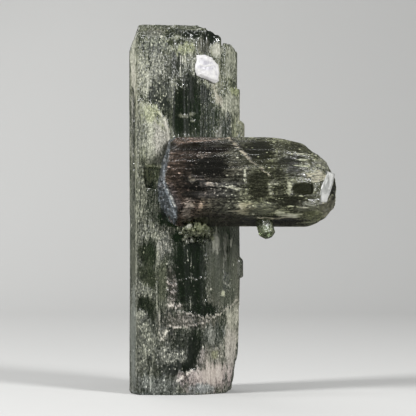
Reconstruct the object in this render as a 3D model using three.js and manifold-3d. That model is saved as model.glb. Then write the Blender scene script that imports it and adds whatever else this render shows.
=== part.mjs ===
// An elbaite crystal cluster: an upright striated prism, with a shorter prism grown across its front.
// Millimetres. +Z is up, +X runs along the short crystal, and the viewer stands on the -Y side.
// The origin is in the middle of the flat foot that the cluster stands on.
import * as THREE from "three";
import { mergeVertices } from "three/addons/utils/BufferGeometryUtils.js";
import Module from "manifold-3d";

const wasm = await Module();
wasm.setup();

// The upright crystal

const HEIGHT = 76;
// Edges of the prism seen from above, anticlockwise from the front left edge
const MAIN_CORNERS = [
  [-9.6, -8.2],
  [-3.2, -8.7],
  [3.3, -7.7],
  [9.5, -3.1],
  [11.4, 0.6],
  [9.2, 6.3],
  [3.6, 8.9],
  [-4.0, 8.6],
  [-9.4, 5.2],
  [-11.7, 0.2],
  [-11.3, -4.2],
];
const MAIN_RIB = { pitch: 1.55, depth: 0.34, seed: 3 };
// Heights of the growth ledges, where the ribs shift a little
const MAIN_LEDGES = [15.5, 31, 62.5];
const LEDGE_RISE = 0.7;
const LEDGE_SHIFT = 0.45;
const FOOT_TAPER = { height: 24, share: 0.06 };
const MAIN_STATIONS = [0, 7, 23, 38, 47, 55, 69, HEIGHT];

// The short crystal, whose axis runs along X

const CROSS_AXIS = { y: -10, z: 43.4 };
const CROSS_START = -5.5;
// Edges of its section as [y, z] from the axis, anticlockwise seen from its tip
const CROSS_CORNERS = [
  [-7.4, -1.2],
  [-6.9, -5.2],
  [-4.4, -7.2],
  [-0.6, -9.0],
  [4.6, -7.4],
  [7.2, -2.4],
  [6.9, 4.2],
  [3.2, 8.3],
  [-1.6, 9.1],
  [-5.6, 6.3],
  [-7.2, 2.4],
];
const CROSS_RIB = { pitch: 1.25, depth: 0.3, seed: 11 };
// The rounded tip starts sooner along the top than along the underside
const DOME = { top: 15, underside: 24.4, tip: 31.4, power: 0.5, stagger: 1.1 };
const DOME_STEPS = [0.16, 0.32, 0.47, 0.61, 0.73, 0.83, 0.91, 0.97];
const CROSS_STATIONS = [0, 0.3, 0.55, 0.8, 1];

// A repeatable wobble from -1 to 1 for the item numbered i of the set numbered k
function wobble(i, k) {
  const s = Math.sin(i * 127.1 + k * 311.7) * 43758.5453;
  return 2 * (s - Math.floor(s)) - 1;
}

// Points round a prism's section: its edges, and between them ribs that stand in and out of each face
function ribbedOutline(corners, rib, level) {
  const points = [];
  corners.forEach(([x, y], i) => {
    const [nextX, nextY] = corners[(i + 1) % corners.length];
    const length = Math.hypot(nextX - x, nextY - y);
    const count = Math.max(1, Math.round(length / rib.pitch));
    const out = new THREE.Vector2((nextY - y) / length, (x - nextX) / length);
    for (let k = 0; k < count; k++) {
      const own = wobble(points.length, rib.seed);
      const shifted = wobble(points.length, rib.seed + 1 + level);
      const depth = k ? rib.depth * (own * (1 - LEDGE_SHIFT) + shifted * LEDGE_SHIFT) : 0;
      points.push(
        new THREE.Vector2(
          x + ((nextX - x) * k) / count + out.x * depth,
          y + ((nextY - y) * k) / count + out.y * depth,
        ),
      );
    }
  });
  return points;
}

// A closed mesh over rings of points of one length, each ring anticlockwise seen from the last one's side
function loft(rings) {
  const count = rings[0].length;
  const centre = (ring) =>
    ring.reduce((sum, p) => sum.add(p), new THREE.Vector3()).divideScalar(count);
  const vertices = [...rings.flat(), centre(rings[0]), centre(rings.at(-1))];
  const start = rings.length * count;
  const top = start - count;
  const faces = [];
  for (let k = 0; k < count; k++) {
    const next = (k + 1) % count;
    for (let r = 0; r < top; r += count)
      faces.push(r + k, r + next, r + count + next, r + k, r + count + next, r + count + k);
    faces.push(start, next, k, start + 1, top + k, top + next);
  }
  return new THREE.BufferGeometry().setFromPoints(vertices).setIndex(faces);
}

// A three.js geometry, with its matrix applied, as a solid that can be joined and cut
function solid(geometry, matrix = new THREE.Matrix4()) {
  const bare = new THREE.BufferGeometry();
  bare.setAttribute("position", geometry.getAttribute("position").clone());
  bare.setIndex(geometry.index);
  const merged = mergeVertices(bare.applyMatrix4(matrix), 1e-4);
  return new wasm.Manifold(
    new wasm.Mesh({
      numProp: 3,
      vertProperties: merged.attributes.position.array,
      triVerts: new Uint32Array(merged.index.array),
    }),
  );
}

function geometryOf(manifold) {
  const mesh = manifold.getMesh();
  const geometry = new THREE.BufferGeometry();
  geometry.setAttribute("position", new THREE.BufferAttribute(mesh.vertProperties, mesh.numProp));
  geometry.setIndex(new THREE.BufferAttribute(mesh.triVerts, 1));
  geometry.computeVertexNormals();
  return geometry;
}

// A block as large as the cluster, on the side of a plane that its outward normal points to
function beyond(point, normal) {
  const size = 2 * HEIGHT;
  const out = new THREE.Vector3(...normal).normalize();
  const turn = new THREE.Quaternion().setFromUnitVectors(new THREE.Vector3(0, 0, 1), out);
  const middle = new THREE.Vector3(...point).addScaledVector(out, size / 2);
  const matrix = new THREE.Matrix4().compose(middle, turn, new THREE.Vector3(1, 1, 1));
  return solid(new THREE.BoxGeometry(size, size, size), matrix);
}

function block([x0, y0, z0], [x1, y1, z1]) {
  const box = new THREE.BoxGeometry(x1 - x0, y1 - y0, z1 - z0);
  return solid(box.translate((x0 + x1) / 2, (y0 + y1) / 2, (z0 + z1) / 2));
}

// A flat plate with a bevelled rim: outline as [x, z] seen from the front, between two depths
function plate(outline, yBack, yFront, bevel) {
  const shape = new THREE.Shape(outline.map(([x, z]) => new THREE.Vector2(x, z)));
  const geometry = new THREE.ExtrudeGeometry(shape, {
    depth: yBack - yFront - bevel,
    bevelThickness: bevel,
    bevelSize: bevel,
    bevelOffset: -bevel,
    bevelSegments: 1,
    curveSegments: 6,
  });
  return geometry.rotateX(Math.PI / 2).translate(0, yBack, 0);
}

// A six-sided crystal with a flat pyramid, standing on the XY plane
function smallCrystal(radius, length, tip) {
  const profile = [
    [0, 0],
    [radius, 0],
    [radius, length - tip],
    [radius * 0.45, length],
    [0, length],
  ];
  const points = profile.map(([r, z]) => new THREE.Vector2(r, z));
  return new THREE.LatheGeometry(points, 6).rotateX(Math.PI / 2);
}

// Turns a shape that stands along +Z so that it stands along the given way, and moves its foot
const UPRIGHT = [0, 0, 1];
function placed(foot, along) {
  const way = new THREE.Vector3(...along).normalize();
  const turn = new THREE.Quaternion().setFromUnitVectors(new THREE.Vector3(...UPRIGHT), way);
  return new THREE.Matrix4().compose(new THREE.Vector3(...foot), turn, new THREE.Vector3(1, 1, 1));
}

// The upright crystal's body: ribs shifted above each ledge, and the right side drawn in at the foot
function mainBody() {
  const levels = [];
  for (const z of MAIN_STATIONS) levels.push([z, MAIN_LEDGES.filter((l) => l < z).length]);
  MAIN_LEDGES.forEach((z, i) => levels.push([z - LEDGE_RISE / 2, i], [z + LEDGE_RISE / 2, i + 1]));
  levels.sort((a, b) => a[0] - b[0]);
  return solid(
    loft(
      levels.map(([z, level]) => {
        const low = Math.max(0, 1 - z / FOOT_TAPER.height);
        return ribbedOutline(MAIN_CORNERS, MAIN_RIB, level).map(
          (p) => new THREE.Vector3(p.x > 0 ? p.x * (1 - FOOT_TAPER.share * low) : p.x, p.y, z),
        );
      }),
    ),
  );
}

// Chips and bevels of the upright crystal, each a plane that cuts a corner off
const MAIN_BEVELS = [
  { name: "front of the top", point: [0, -8.6, 73], normal: [0.05, -0.36, 0.93] },
  { name: "back of the top", point: [0, 4.5, HEIGHT], normal: [-0.1, 0.3, 0.95] },
  { name: "left of the top, steep", point: [-11.2, 0, 72], normal: [-0.94, -0.12, 0.33] },
  { name: "left of the top, flat", point: [-9.8, 0, 75.1], normal: [-0.6, 0.1, 0.79] },
  { name: "right of the top", point: [4.5, 0, 74.5], normal: [0.66, 0, 0.75] },
  { name: "right of the foot", point: [9.9, 0, 4], normal: [0.965, -0.1, -0.23] },
  { name: "back of the foot", point: [0, 8.2, 1.6], normal: [0.1, 0.75, -0.6] },
  { name: "back left of the top", point: [-7.2, 6.4, 70.5], normal: [-0.5, 0.62, 0.6] },
];

// The broken top right corner, in which a thinner column of the same growth still stands
const CORNER_GAP = { left: 7.35, floor: 62.2, rise: 0.16 };
const COLUMN_TOP = 72;
const COLUMN = [
  [7.75, -4.1],
  [9.2, -3.2],
  [10.4, -1.4],
  [10.8, 0.6],
  [9.6, 3.6],
  [7.75, 3.9],
];
const COLUMN_SHOULDER = { point: [10.3, 0, 70.9], normal: [0.75, -0.1, 0.66] };
// The web that closes the gap between the column and the rest of the crystal, just behind their faces
const COLUMN_WEB = { low: [7.0, -3.5, 61], high: [8.4, 3.4, 71.2] };

// The pale plate grown on the front left, its lower end broken off, and the dark hollow below it
const SLAB_OUTLINE = [
  [-9.1, 47.6],
  [-7.0, 46.9],
  [-3.6, 48.3],
  [-3.1, 51.5],
  [-3.3, 54.2],
  [-4.1, 56.1],
  [-5.4, 57.7],
  [-7.0, 58.9],
  [-9.1, 60.1],
];
const SLAB = { back: -7.2, front: -9.55, bevel: 0.6 };
const HOLLOW_OUTLINE = [
  [-7.9, 42.5],
  [-5.6, 41.9],
  [-4.4, 43.4],
  [-4.7, 46.2],
  [-8.4, 46.4],
];
const HOLLOW = { back: -7.3, front: -11, bevel: 0.5 };

// Thin crystals in parallel growth: on the right edge, at the top, and two long ones behind
const PARALLEL_CRYSTALS = [
  { foot: [10.9, 0.5, 49.6], radius: 1.55, length: 6.7, tip: 0.5 },
  { foot: [10.6, 0.6, 23.6], radius: 1.55, length: 4.5, tip: 0.5 },
  { foot: [6.2, -4.3, 64], radius: 1.25, length: 9.7, tip: 0.5 },
  { foot: [3.3, -5.6, 66], radius: 1.35, length: 9.0, tip: 0.5 },
  { foot: [0.6, -7.0, 68], radius: 1.2, length: 6.2, tip: 0.5 },
  { foot: [5.0, 6.9, 9.5], radius: 2.7, length: 43, tip: 1.8 },
  { foot: [-6.3, 5.7, 24], radius: 2.2, length: 36, tip: 1.5 },
];

// Small yellow-green crystals in the corner under the short crystal: foot, lean, radius and length
const CRUST = [
  { foot: [0.4, -7.4, 32.7], along: [-0.1, -1, 0.2], radius: 1.3, length: 2.2 },
  { foot: [2.0, -7.1, 33.3], along: [0.2, -1, -0.25], radius: 1.5, length: 2.6 },
  { foot: [3.8, -6.5, 32.8], along: [0.5, -1, -0.1], radius: 1.3, length: 2.5 },
  { foot: [1.2, -7.2, 31.5], along: [0.1, -1, -0.5], radius: 0.9, length: 1.8 },
  { foot: [5.1, -5.6, 33.4], along: [0.7, -1, 0.1], radius: 1.0, length: 2.2 },
  { foot: [3.1, -6.9, 31.7], along: [0.3, -1, -0.4], radius: 0.8, length: 1.7 },
];
const CRUST_TIP = 0.5;

function cornerGap() {
  const tall = HEIGHT - CORNER_GAP.floor + 10;
  const wide = 12;
  const box = new THREE.BoxGeometry(wide, 30, tall).translate(wide / 2, 0, tall / 2);
  const turn = new THREE.Matrix4().makeShear(0, CORNER_GAP.rise, 0, 0, 0, 0);
  return solid(box.applyMatrix4(turn).translate(CORNER_GAP.left, -8, CORNER_GAP.floor));
}

function column() {
  const shape = new THREE.Shape(COLUMN.map(([x, y]) => new THREE.Vector2(x, y)));
  const foot = CORNER_GAP.floor - 2;
  const prism = new THREE.ExtrudeGeometry(shape, { depth: COLUMN_TOP - foot, bevelEnabled: false });
  return solid(prism.translate(0, 0, foot))
    .subtract(beyond(COLUMN_SHOULDER.point, COLUMN_SHOULDER.normal))
    .add(block(COLUMN_WEB.low, COLUMN_WEB.high));
}

function mainCrystal() {
  let made = mainBody();
  for (const bevel of MAIN_BEVELS) made = made.subtract(beyond(bevel.point, bevel.normal));
  made = made.subtract(cornerGap()).add(column());
  made = made.add(solid(plate(SLAB_OUTLINE, SLAB.back, SLAB.front, SLAB.bevel)));
  made = made.subtract(solid(plate(HOLLOW_OUTLINE, HOLLOW.back, HOLLOW.front, HOLLOW.bevel)));
  for (const c of PARALLEL_CRYSTALS)
    made = made.add(solid(smallCrystal(c.radius, c.length, c.tip), placed(c.foot, UPRIGHT)));
  for (const c of CRUST)
    made = made.add(solid(smallCrystal(c.radius, c.length, CRUST_TIP), placed(c.foot, c.along)));
  return made;
}

// A point of the short crystal: a share of its straight part, then a reach of the way from there to its tip
function crossPoint(p, i, share, reach) {
  const up = (p.y / Math.hypot(p.x, p.y) + 1) / 2;
  const shoulder = DOME.underside + (DOME.top - DOME.underside) * up;
  const straight = CROSS_START + share * (shoulder - CROSS_START);
  const stagger = DOME.stagger * Math.min(reach, 1 - reach) * wobble(i, CROSS_RIB.seed + 7);
  const width = Math.pow(1 - reach * reach, DOME.power);
  return new THREE.Vector3(
    straight + (DOME.tip - shoulder) * reach + stagger,
    CROSS_AXIS.y + p.x * width,
    CROSS_AXIS.z + p.y * width,
  );
}

// Fibres of the short crystal whose blunt ends step out of the rounded tip
const FIBRE = { count: 16, radius: 1.8, length: 8, proud: 0.6, tip: 0.45, depth: 0.84 };
const FIBRE_REACHES = [0.5, 0.78, 0.3, 0.64, 0.9];

function fibre(outline, k) {
  const i = Math.floor((k * outline.length) / FIBRE.count);
  const reach = FIBRE_REACHES[k % FIBRE_REACHES.length];
  const end = crossPoint(outline[i].clone().multiplyScalar(FIBRE.depth), i, 1, reach);
  const foot = [end.x + FIBRE.proud - FIBRE.length, end.y, end.z];
  return solid(smallCrystal(FIBRE.radius, FIBRE.length, FIBRE.tip), placed(foot, [1, 0, 0]));
}

// The broken left end of the short crystal, and the small blunt faces at its tip
const CROSS_ENDS = [
  { name: "upper break", point: [-4.5, -14, 44.1], normal: [-0.965, -0.1, 0.2] },
  { name: "lower break", point: [-4.5, -16.5, 43.6], normal: [-0.86, -0.3, -0.41] },
  { name: "upper corner", point: [-2.9, -14, 51.4], normal: [-0.6, -0.1, 0.75] },
  { name: "tip face", point: [30.5, -10, 42.5], normal: [0.97, -0.12, -0.06] },
  { name: "tip corner", point: [29.4, -10, 37.6], normal: [0.72, 0.25, -0.6] },
  { name: "tip shoulder", point: [28.6, -10, 46.9], normal: [0.89, 0, 0.45] },
  { name: "tip top", point: [27.0, -10, 48.6], normal: [0.61, 0, 0.79] },
];
// The etched rectangular pit near the tip
const PIT = { low: [21.7, -20, 40.9], high: [25.9, -13.4, 43.1] };
// The small crystal that hangs from the underside
const BUD = { foot: [15.7, -11.4, 36.2], along: [0.28, -0.25, -1], radius: 1.75, length: 4.4 };
const BUD_TIP = 1.2;

function crossCrystal() {
  const outline = ribbedOutline(CROSS_CORNERS, CROSS_RIB, 0);
  const ring = (share, reach) => outline.map((p, i) => crossPoint(p, i, share, reach));
  const straight = CROSS_STATIONS.map((share) => ring(share, 0));
  const dome = DOME_STEPS.map((reach) => ring(1, reach));
  let made = solid(loft([...straight, ...dome]));
  for (let k = 0; k < FIBRE.count; k++) made = made.add(fibre(outline, k));
  for (const cut of CROSS_ENDS) made = made.subtract(beyond(cut.point, cut.normal));
  made = made.subtract(block(PIT.low, PIT.high));
  const bud = smallCrystal(BUD.radius, BUD.length, BUD_TIP);
  return made.add(solid(bud, placed(BUD.foot, BUD.along)));
}

// The white albite chip on the right front face, and the white blade at the tip
const SEAT_GAP = 0.3;
const POCKET_OPEN = 4;
const CHIP_OUTLINE = [
  [-2.6, -1.5],
  [1.6, -2.85],
  [2.3, -2.4],
  [2.5, -0.9],
  [2.1, 0.9],
  [0.8, 2.3],
  [-0.9, 2.9],
  [-2.55, 2.7],
  [-3.0, -0.2],
];
const CHIP = { at: [4.7, -6.7, 66.5], turn: 0.5, back: 0.6, front: -0.8, bevel: 0.35 };
const BLADE_OUTLINE = [
  [-1.5, -2.7],
  [0.5, -2.7],
  [1.2, 0.4],
  [2.2, 3.0],
  [0.3, 3.7],
  [-1.8, -0.7],
];
const BLADE = { at: [28.3, -14.7, 41.8], turn: 0.5, back: 1.3, front: -0.75, bevel: 0.35 };

// The way out of an anticlockwise outline, across its edge from p to q
function outwards(p, q) {
  return new THREE.Vector2(q.y - p.y, p.x - q.x).normalize();
}

// An outline with each of its edges moved out by a margin
function grown(outline, margin) {
  const points = outline.map(([x, z]) => new THREE.Vector2(x, z));
  return points.map((p, i) => {
    const before = outwards(points.at(i - 1), p);
    const after = outwards(p, points[(i + 1) % points.length]);
    const share = margin / (1 + before.dot(after));
    return [p.x + share * (before.x + after.x), p.y + share * (before.y + after.y)];
  });
}

// A plate turned to face along its host's surface; margin and open make the pocket that it sits in
function seated(outline, spec, margin = 0, open = 0) {
  const geometry = plate(
    grown(outline, margin),
    spec.back + margin,
    spec.front - open,
    spec.bevel,
  );
  const turn = new THREE.Matrix4().makeRotationZ(spec.turn);
  return solid(geometry, turn.setPosition(...spec.at));
}

// The finished pieces

const FINISHES = {
  elbaite: { color: 0x56604c, roughness: 0.35, metalness: 0 },
  albite: { color: 0xe4e2de, roughness: 0.6, metalness: 0 },
  blade: { color: 0xc9ccc6, roughness: 0.3, metalness: 0 },
};

function piece(name, manifold, finish) {
  const mesh = new THREE.Mesh(geometryOf(manifold), new THREE.MeshStandardMaterial(finish));
  mesh.name = name;
  return mesh;
}

// The two big crystals grew through each other, so they are one solid
const elbaite = mainCrystal()
  .add(crossCrystal())
  .subtract(seated(CHIP_OUTLINE, CHIP, SEAT_GAP, POCKET_OPEN))
  .subtract(seated(BLADE_OUTLINE, BLADE, SEAT_GAP, POCKET_OPEN));

const cluster = new THREE.Group();
cluster.add(piece("elbaite_crystals", elbaite, FINISHES.elbaite));
cluster.add(piece("albite_chip", seated(CHIP_OUTLINE, CHIP), FINISHES.albite));
cluster.add(piece("tip_blade", seated(BLADE_OUTLINE, BLADE), FINISHES.blade));

export default cluster;
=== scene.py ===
# %% [markdown]
# # An elbaite crystal cluster
# A dark green elbaite prism stands upright, and a shorter, thicker one has grown across its
# front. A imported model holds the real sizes. This lesson loads it as a fixed frame, and makes the
# surface that the eye sees around it: ribs, etched ends, frosted and clear patches, cracks and
# small crystals.

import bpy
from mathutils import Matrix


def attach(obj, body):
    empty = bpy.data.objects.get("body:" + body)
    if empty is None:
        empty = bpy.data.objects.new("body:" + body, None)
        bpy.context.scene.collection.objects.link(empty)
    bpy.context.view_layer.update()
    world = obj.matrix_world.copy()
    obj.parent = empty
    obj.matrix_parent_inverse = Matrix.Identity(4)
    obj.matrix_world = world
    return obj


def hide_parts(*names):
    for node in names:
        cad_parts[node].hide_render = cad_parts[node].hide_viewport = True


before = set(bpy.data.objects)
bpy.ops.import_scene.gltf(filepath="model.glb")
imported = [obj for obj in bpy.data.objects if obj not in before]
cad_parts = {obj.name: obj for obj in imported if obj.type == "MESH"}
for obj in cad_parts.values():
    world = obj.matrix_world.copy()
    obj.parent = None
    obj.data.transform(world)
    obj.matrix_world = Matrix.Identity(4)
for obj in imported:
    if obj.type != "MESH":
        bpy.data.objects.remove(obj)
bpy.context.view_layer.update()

# %% [markdown]
# ## The view
# A mineral like this is photographed level, from a little way off, with a long lens, so that its
# upright edges stay parallel. The camera could be aimed with a constraint, but a level camera
# needs no aiming: it stands in front of the middle of the cluster and looks along +Y.

# %% Camera
import math
import bpy
from mathutils import Vector

MM = 0.001
QUARTER_TURN = math.radians(90)
CAMERA_AT = Vector((4.69, -408.0, 38.1)) * MM
LENS_MM = 169.9
SENSOR_MM = 36.0
NEAREST_SEEN = 0.01

scene = bpy.context.scene
camera = bpy.data.objects.new("camera", bpy.data.cameras.new("camera"))
camera.data.lens = LENS_MM
camera.data.sensor_width = SENSOR_MM
camera.data.clip_start = NEAREST_SEEN
camera.location = CAMERA_AT
camera.rotation_euler = (QUARTER_TURN, 0, 0)
scene.collection.objects.link(camera)
scene.camera = camera
print("camera", round(-CAMERA_AT.y, 3), "m in front of the cluster")

# %% [markdown]
# ## The studio
# Frosted crystal looks best in soft light from the sides, and its clear windows look dark only
# where they mirror something dark. So large lamps stand to the left and right, weak ones above
# and behind, and the room is dim. The floor is a pale sheet that curves up behind the object, so
# no horizon shows. It would be mirrored in every upright face as a grey veil. A photographer lays
# black card there; here the floor is left out of mirror images, which does the same from all
# sides.

# %% Floor and backdrop
FLOOR_REACH = 1.6
BEND_START = 0.30
BEND_RADIUS = 0.25
BEND_STEPS = 12
WALL_TOP = 0.6
PALE_GREY = (0.50, 0.50, 0.49, 1)
PAPER_ROUGHNESS = 0.9


def add_mesh(name, vertices, faces):
    """A new smooth object in the scene, made from points and faces."""
    mesh = bpy.data.meshes.new(name)
    mesh.from_pydata([tuple(v) for v in vertices], [], [tuple(f) for f in faces])
    mesh.update()
    mesh.polygons.foreach_set("use_smooth", [True] * len(mesh.polygons))
    made = bpy.data.objects.new(name, mesh)
    scene.collection.objects.link(made)
    return made


def new_material(name):
    """A new material, its node tree and its Principled BSDF."""
    made = bpy.data.materials.new(name)
    made.use_nodes = True
    return made, made.node_tree, made.node_tree.nodes["Principled BSDF"]


turns = [QUARTER_TURN * i / BEND_STEPS for i in range(BEND_STEPS + 1)]
bend = [(BEND_START + BEND_RADIUS * math.sin(t), BEND_RADIUS * (1 - math.cos(t))) for t in turns]
profile = [(-FLOOR_REACH, 0.0), *bend, (BEND_START + BEND_RADIUS, WALL_TOP)]
points = [(x, y, z) for y, z in profile for x in (-FLOOR_REACH, FLOOR_REACH)]
faces = [(2 * i, 2 * i + 1, 2 * i + 3, 2 * i + 2) for i in range(len(profile) - 1)]
floor = add_mesh("floor", points, faces)
floor.visible_glossy = False

paper, _, paper_shader = new_material("pale_paper")
paper_shader.inputs["Base Color"].default_value = PALE_GREY
paper_shader.inputs["Roughness"].default_value = PAPER_ROUGHNESS
floor.data.materials.append(paper)
print("floor reaches", FLOOR_REACH, "m to each side")

# %% Lamps and room
# Each lamp: name, place in metres, width, height, power in watts
LAMPS = [
    ("left_lamp", (-0.44, -0.22, 0.30), 0.12, 0.22, 4.0),
    ("right_lamp", (0.35, -0.35, 0.26), 0.10, 0.22, 3.2),
    ("top_lamp", (0.0, -0.07, 0.50), 0.24, 0.08, 0.4),
    ("back_lamp", (-0.20, 0.40, 0.30), 0.30, 0.20, 0.7),
]
LOOK_AT = Vector((0.004, 0.0, 0.04))
ROOM_LIGHT = (0.09, 0.093, 0.096, 1)

for name, place, width, height, power in LAMPS:
    lamp = bpy.data.objects.new(name, bpy.data.lights.new(name, "AREA"))
    lamp.data.shape = "RECTANGLE"
    lamp.data.size = width
    lamp.data.size_y = height
    lamp.data.energy = power
    lamp.location = place
    lamp.rotation_euler = (LOOK_AT - Vector(place)).to_track_quat("-Z", "Y").to_euler()
    scene.collection.objects.link(lamp)

scene.world = bpy.data.worlds.new("dim_room")
scene.world.use_nodes = True
scene.world.node_tree.nodes["Background"].inputs["Color"].default_value = ROOM_LIGHT
scene.view_settings.view_transform = "Standard"
print(len(LAMPS), "soft lamps")

# %% [markdown]
# ## Carving with a distance field
# A crystal could be lofted from outlines, but chips, ledges, ribs and a plate grown on one side
# all have to run into each other. Here the shape is a field instead: a number at every point of a
# fine grid, below zero inside the crystal. Two shapes are joined by the lower of their numbers
# and cut by the higher, and relief is added to the number itself. A skin is then stretched over
# the places where the field crosses zero, which gives one closed mesh with no loose faces.

# %% Random relief that is the same each run
import itertools
from types import SimpleNamespace
import numpy as np

LATTICE_SIZE = 4096
LATTICE = np.random.default_rng(7).uniform(-1, 1, LATTICE_SIZE)
# Whole numbers that scatter neighbouring points over the lattice
STRIDES = (1, 57, 1013)
SEED_STRIDE = 7919
SCATTER = 2654435761
SCATTER_SHIFT = 13


def lattice_at(key):
    """The lattice value that belongs to a whole number."""
    return LATTICE[(key * SCATTER >> SCATTER_SHIFT) & (LATTICE_SIZE - 1)]


def noise(*coordinates, seed):
    """Smooth values from -1 to 1, with about one bump to each unit of the coordinates."""
    cells = [np.floor(c).astype(np.int64) for c in coordinates]
    parts = [c - cell for c, cell in zip(coordinates, cells)]
    parts = [f * f * (3 - 2 * f) for f in parts]
    total = 0.0
    for corner in itertools.product((0, 1), repeat=len(coordinates)):
        key = seed * SEED_STRIDE
        weight = 1.0
        for cell, part, far, stride in zip(cells, parts, corner, STRIDES):
            key = key + (cell + far) * stride
            weight = weight * (part if far else 1 - part)
        total = total + lattice_at(key) * weight
    return total


def noises(x, y, z, table):
    """Several noises by name. The table gives the size of a bump along x, y and z, and a seed."""
    made = {name: noise(x / a, y / b, z / c, seed=seed) for name, (a, b, c, seed) in table.items()}
    return SimpleNamespace(**made)


def cells_of(*coordinates, seed):
    """One value from -1 to 1 for each whole cell of the coordinates, with steps between them."""
    key = seed * SEED_STRIDE
    for c, stride in zip(coordinates, STRIDES):
        key = key + np.floor(c).astype(np.int64) * stride
    return lattice_at(key)


def ramp(value, low, high):
    """0 at low, 1 at high, and smooth between. Low may be the greater of the two."""
    t = np.clip((value - low) / (high - low), 0, 1)
    return t * t * (3 - 2 * t)


print("lattice of", len(LATTICE), "values")

# %% Simple solids as fields
from functools import reduce

# A bevel at 45 degrees is the sum of two distances times this
DIAGONAL = 0.707
# The blunt tip of a small crystal: the share of its width that stays flat, and the pyramid's slope
TIP_SHARE = 0.45
PYRAMID_SLOPE = 0.7
# The small cells on a broken face, in millimetres
FINE_CELL = 0.6


def highest(*fields):
    """The highest of several fields at each point: what is left when each cuts the others."""
    return reduce(np.maximum, fields)


def lowest(*fields):
    """The lowest of several fields at each point: all of them joined."""
    return reduce(np.minimum, fields)


def prism(a, b, corners):
    """For a convex outline, anticlockwise: distance outside it, and the way along its rim."""
    distance, way, walked = -math.inf, 0.0, 0.0
    for (a0, b0), (a1, b1) in zip(corners, corners[1:] + corners[:1]):
        length = math.hypot(a1 - a0, b1 - b0)
        run_a, run_b = (a1 - a0) / length, (b1 - b0) / length
        outside = (a - a0) * run_b - (b - b0) * run_a
        along = walked + (a - a0) * run_a + (b - b0) * run_b
        way = np.where(outside > distance, along, way)
        distance = np.maximum(distance, outside)
        walked += length
    return distance, way


def plane(x, y, z, point, normal):
    """Distance beyond a plane, on the side that its normal points to."""
    out = Vector(normal).normalized()
    return (x - point[0]) * out.x + (y - point[1]) * out.y + (z - point[2]) * out.z


def broken_steps(a, b, cell, fine_share, seed):
    """Steps of a bundle of broken fibres: cells of the given size with finer ones on them."""
    fine = cells_of(a / FINE_CELL, b / FINE_CELL, seed=seed + 1)
    return cells_of(a / cell, b / cell, seed=seed) + fine_share * fine


def chipped(field, x, y, z, chips, steps):
    """The field cut by planes: a point, a normal and how far the steps roughen each cut."""
    cuts = [plane(x, y, z, point, normal) + rough * steps for point, normal, rough in chips]
    return highest(field, *cuts)


def small_crystal(x, y, z, foot, along, radius, length):
    """A six-sided crystal with a blunt pyramid, from its foot along the given way."""
    way = Vector(along).normalized()
    side = way.orthogonal().normalized()
    across = way.cross(side)
    dx, dy, dz = x - foot[0], y - foot[1], z - foot[2]
    height = dx * way.x + dy * way.y + dz * way.z
    u = dx * side.x + dy * side.y + dz * side.z
    v = dx * across.x + dy * across.y + dz * across.z
    apothem = radius * math.cos(math.radians(30))
    around = -apothem
    for turn in (0, 60, 120):
        c, s = math.cos(math.radians(turn)), math.sin(math.radians(turn))
        around = np.maximum(around, np.abs(u * c + v * s) - apothem)
    inward = around + apothem - TIP_SHARE * apothem
    slope = inward * PYRAMID_SLOPE + (height - length) * PYRAMID_SLOPE
    return highest(around, -height, height - length, slope)


def block(x, y, z, low, high):
    """An upright box between two corners."""
    sides = [np.maximum(lo - v, v - hi) for v, lo, hi in zip((x, y, z), low, high)]
    return highest(*sides)


def plate(x, y, z, outline, back, front, bevel):
    """An upright plate: its outline as (x, z) seen from the front, between two depths."""
    rim = prism(x, z, outline)[0]
    face = front - y
    return highest(rim, face, y - back, (rim + face + bevel) * DIAGONAL)


print("solids: prism, plane, small_crystal, block, plate")

# %% The skin over a field


def grid(low, high, step):
    """Three axes of points, in millimetres, with a margin round the corners given."""
    return [np.arange(lo - 2 * s, hi + 2.5 * s, s) for lo, hi, s in zip(low, high, step)]


def relieve(field, axes, reach, relief):
    """Pushes the surface out by what relief(x, y, z) gives, looking only at points near it."""
    near = np.nonzero(np.abs(field) < reach)
    field[near] -= relief(*[axis[i] for axis, i in zip(axes, near)])


def crossing_points(field, cells):
    """The mean of the points where the field crosses zero on the twelve edges of each cell."""
    total = np.zeros((len(cells), 3))
    hits = np.zeros(len(cells))
    for axis in range(3):
        for first, second in itertools.product((0, 1), repeat=2):
            start = cells.copy()
            start[:, (axis + 1) % 3] += first
            start[:, (axis + 2) % 3] += second
            end = start.copy()
            end[:, axis] += 1
            here = field[tuple(start.T)]
            there = field[tuple(end.T)]
            crosses = (here < 0) != (there < 0)
            place = start.astype(float)
            place[crosses, axis] += here[crosses] / (here[crosses] - there[crosses])
            total[crosses] += place[crosses]
            hits += crosses
    return total / hits[:, None]


def crossing_faces(inside, index):
    """A four-sided face for each grid edge that leaves the solid, turned outwards."""
    made = []
    for axis in range(3):
        near = np.take(inside, range(inside.shape[axis] - 1), axis)
        far = np.take(inside, range(1, inside.shape[axis]), axis)
        for leaving in (True, False):
            edge = np.argwhere(near & ~far if leaving else far & ~near)
            step_b = np.zeros(3, int)
            step_c = np.zeros(3, int)
            step_b[(axis + 1) % 3] = 1
            step_c[(axis + 2) % 3] = 1
            ring = [edge - step_b - step_c, edge - step_c, edge, edge - step_b]
            ring = ring if leaving else ring[::-1]
            made.append(np.stack([index[tuple(corner.T)] for corner in ring], 1))
    return np.concatenate(made)


def main_part(count, faces):
    """True for each vertex of the largest connected piece, so that no crumb is left floating."""
    label = np.arange(count)
    while True:
        lowest = label.copy()
        np.minimum.at(lowest, faces.ravel(), np.repeat(label[faces].min(1), 4))
        lowest = lowest[lowest]
        if (lowest == label).all():
            return label == np.bincount(label).argmax()
        label = lowest


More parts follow.
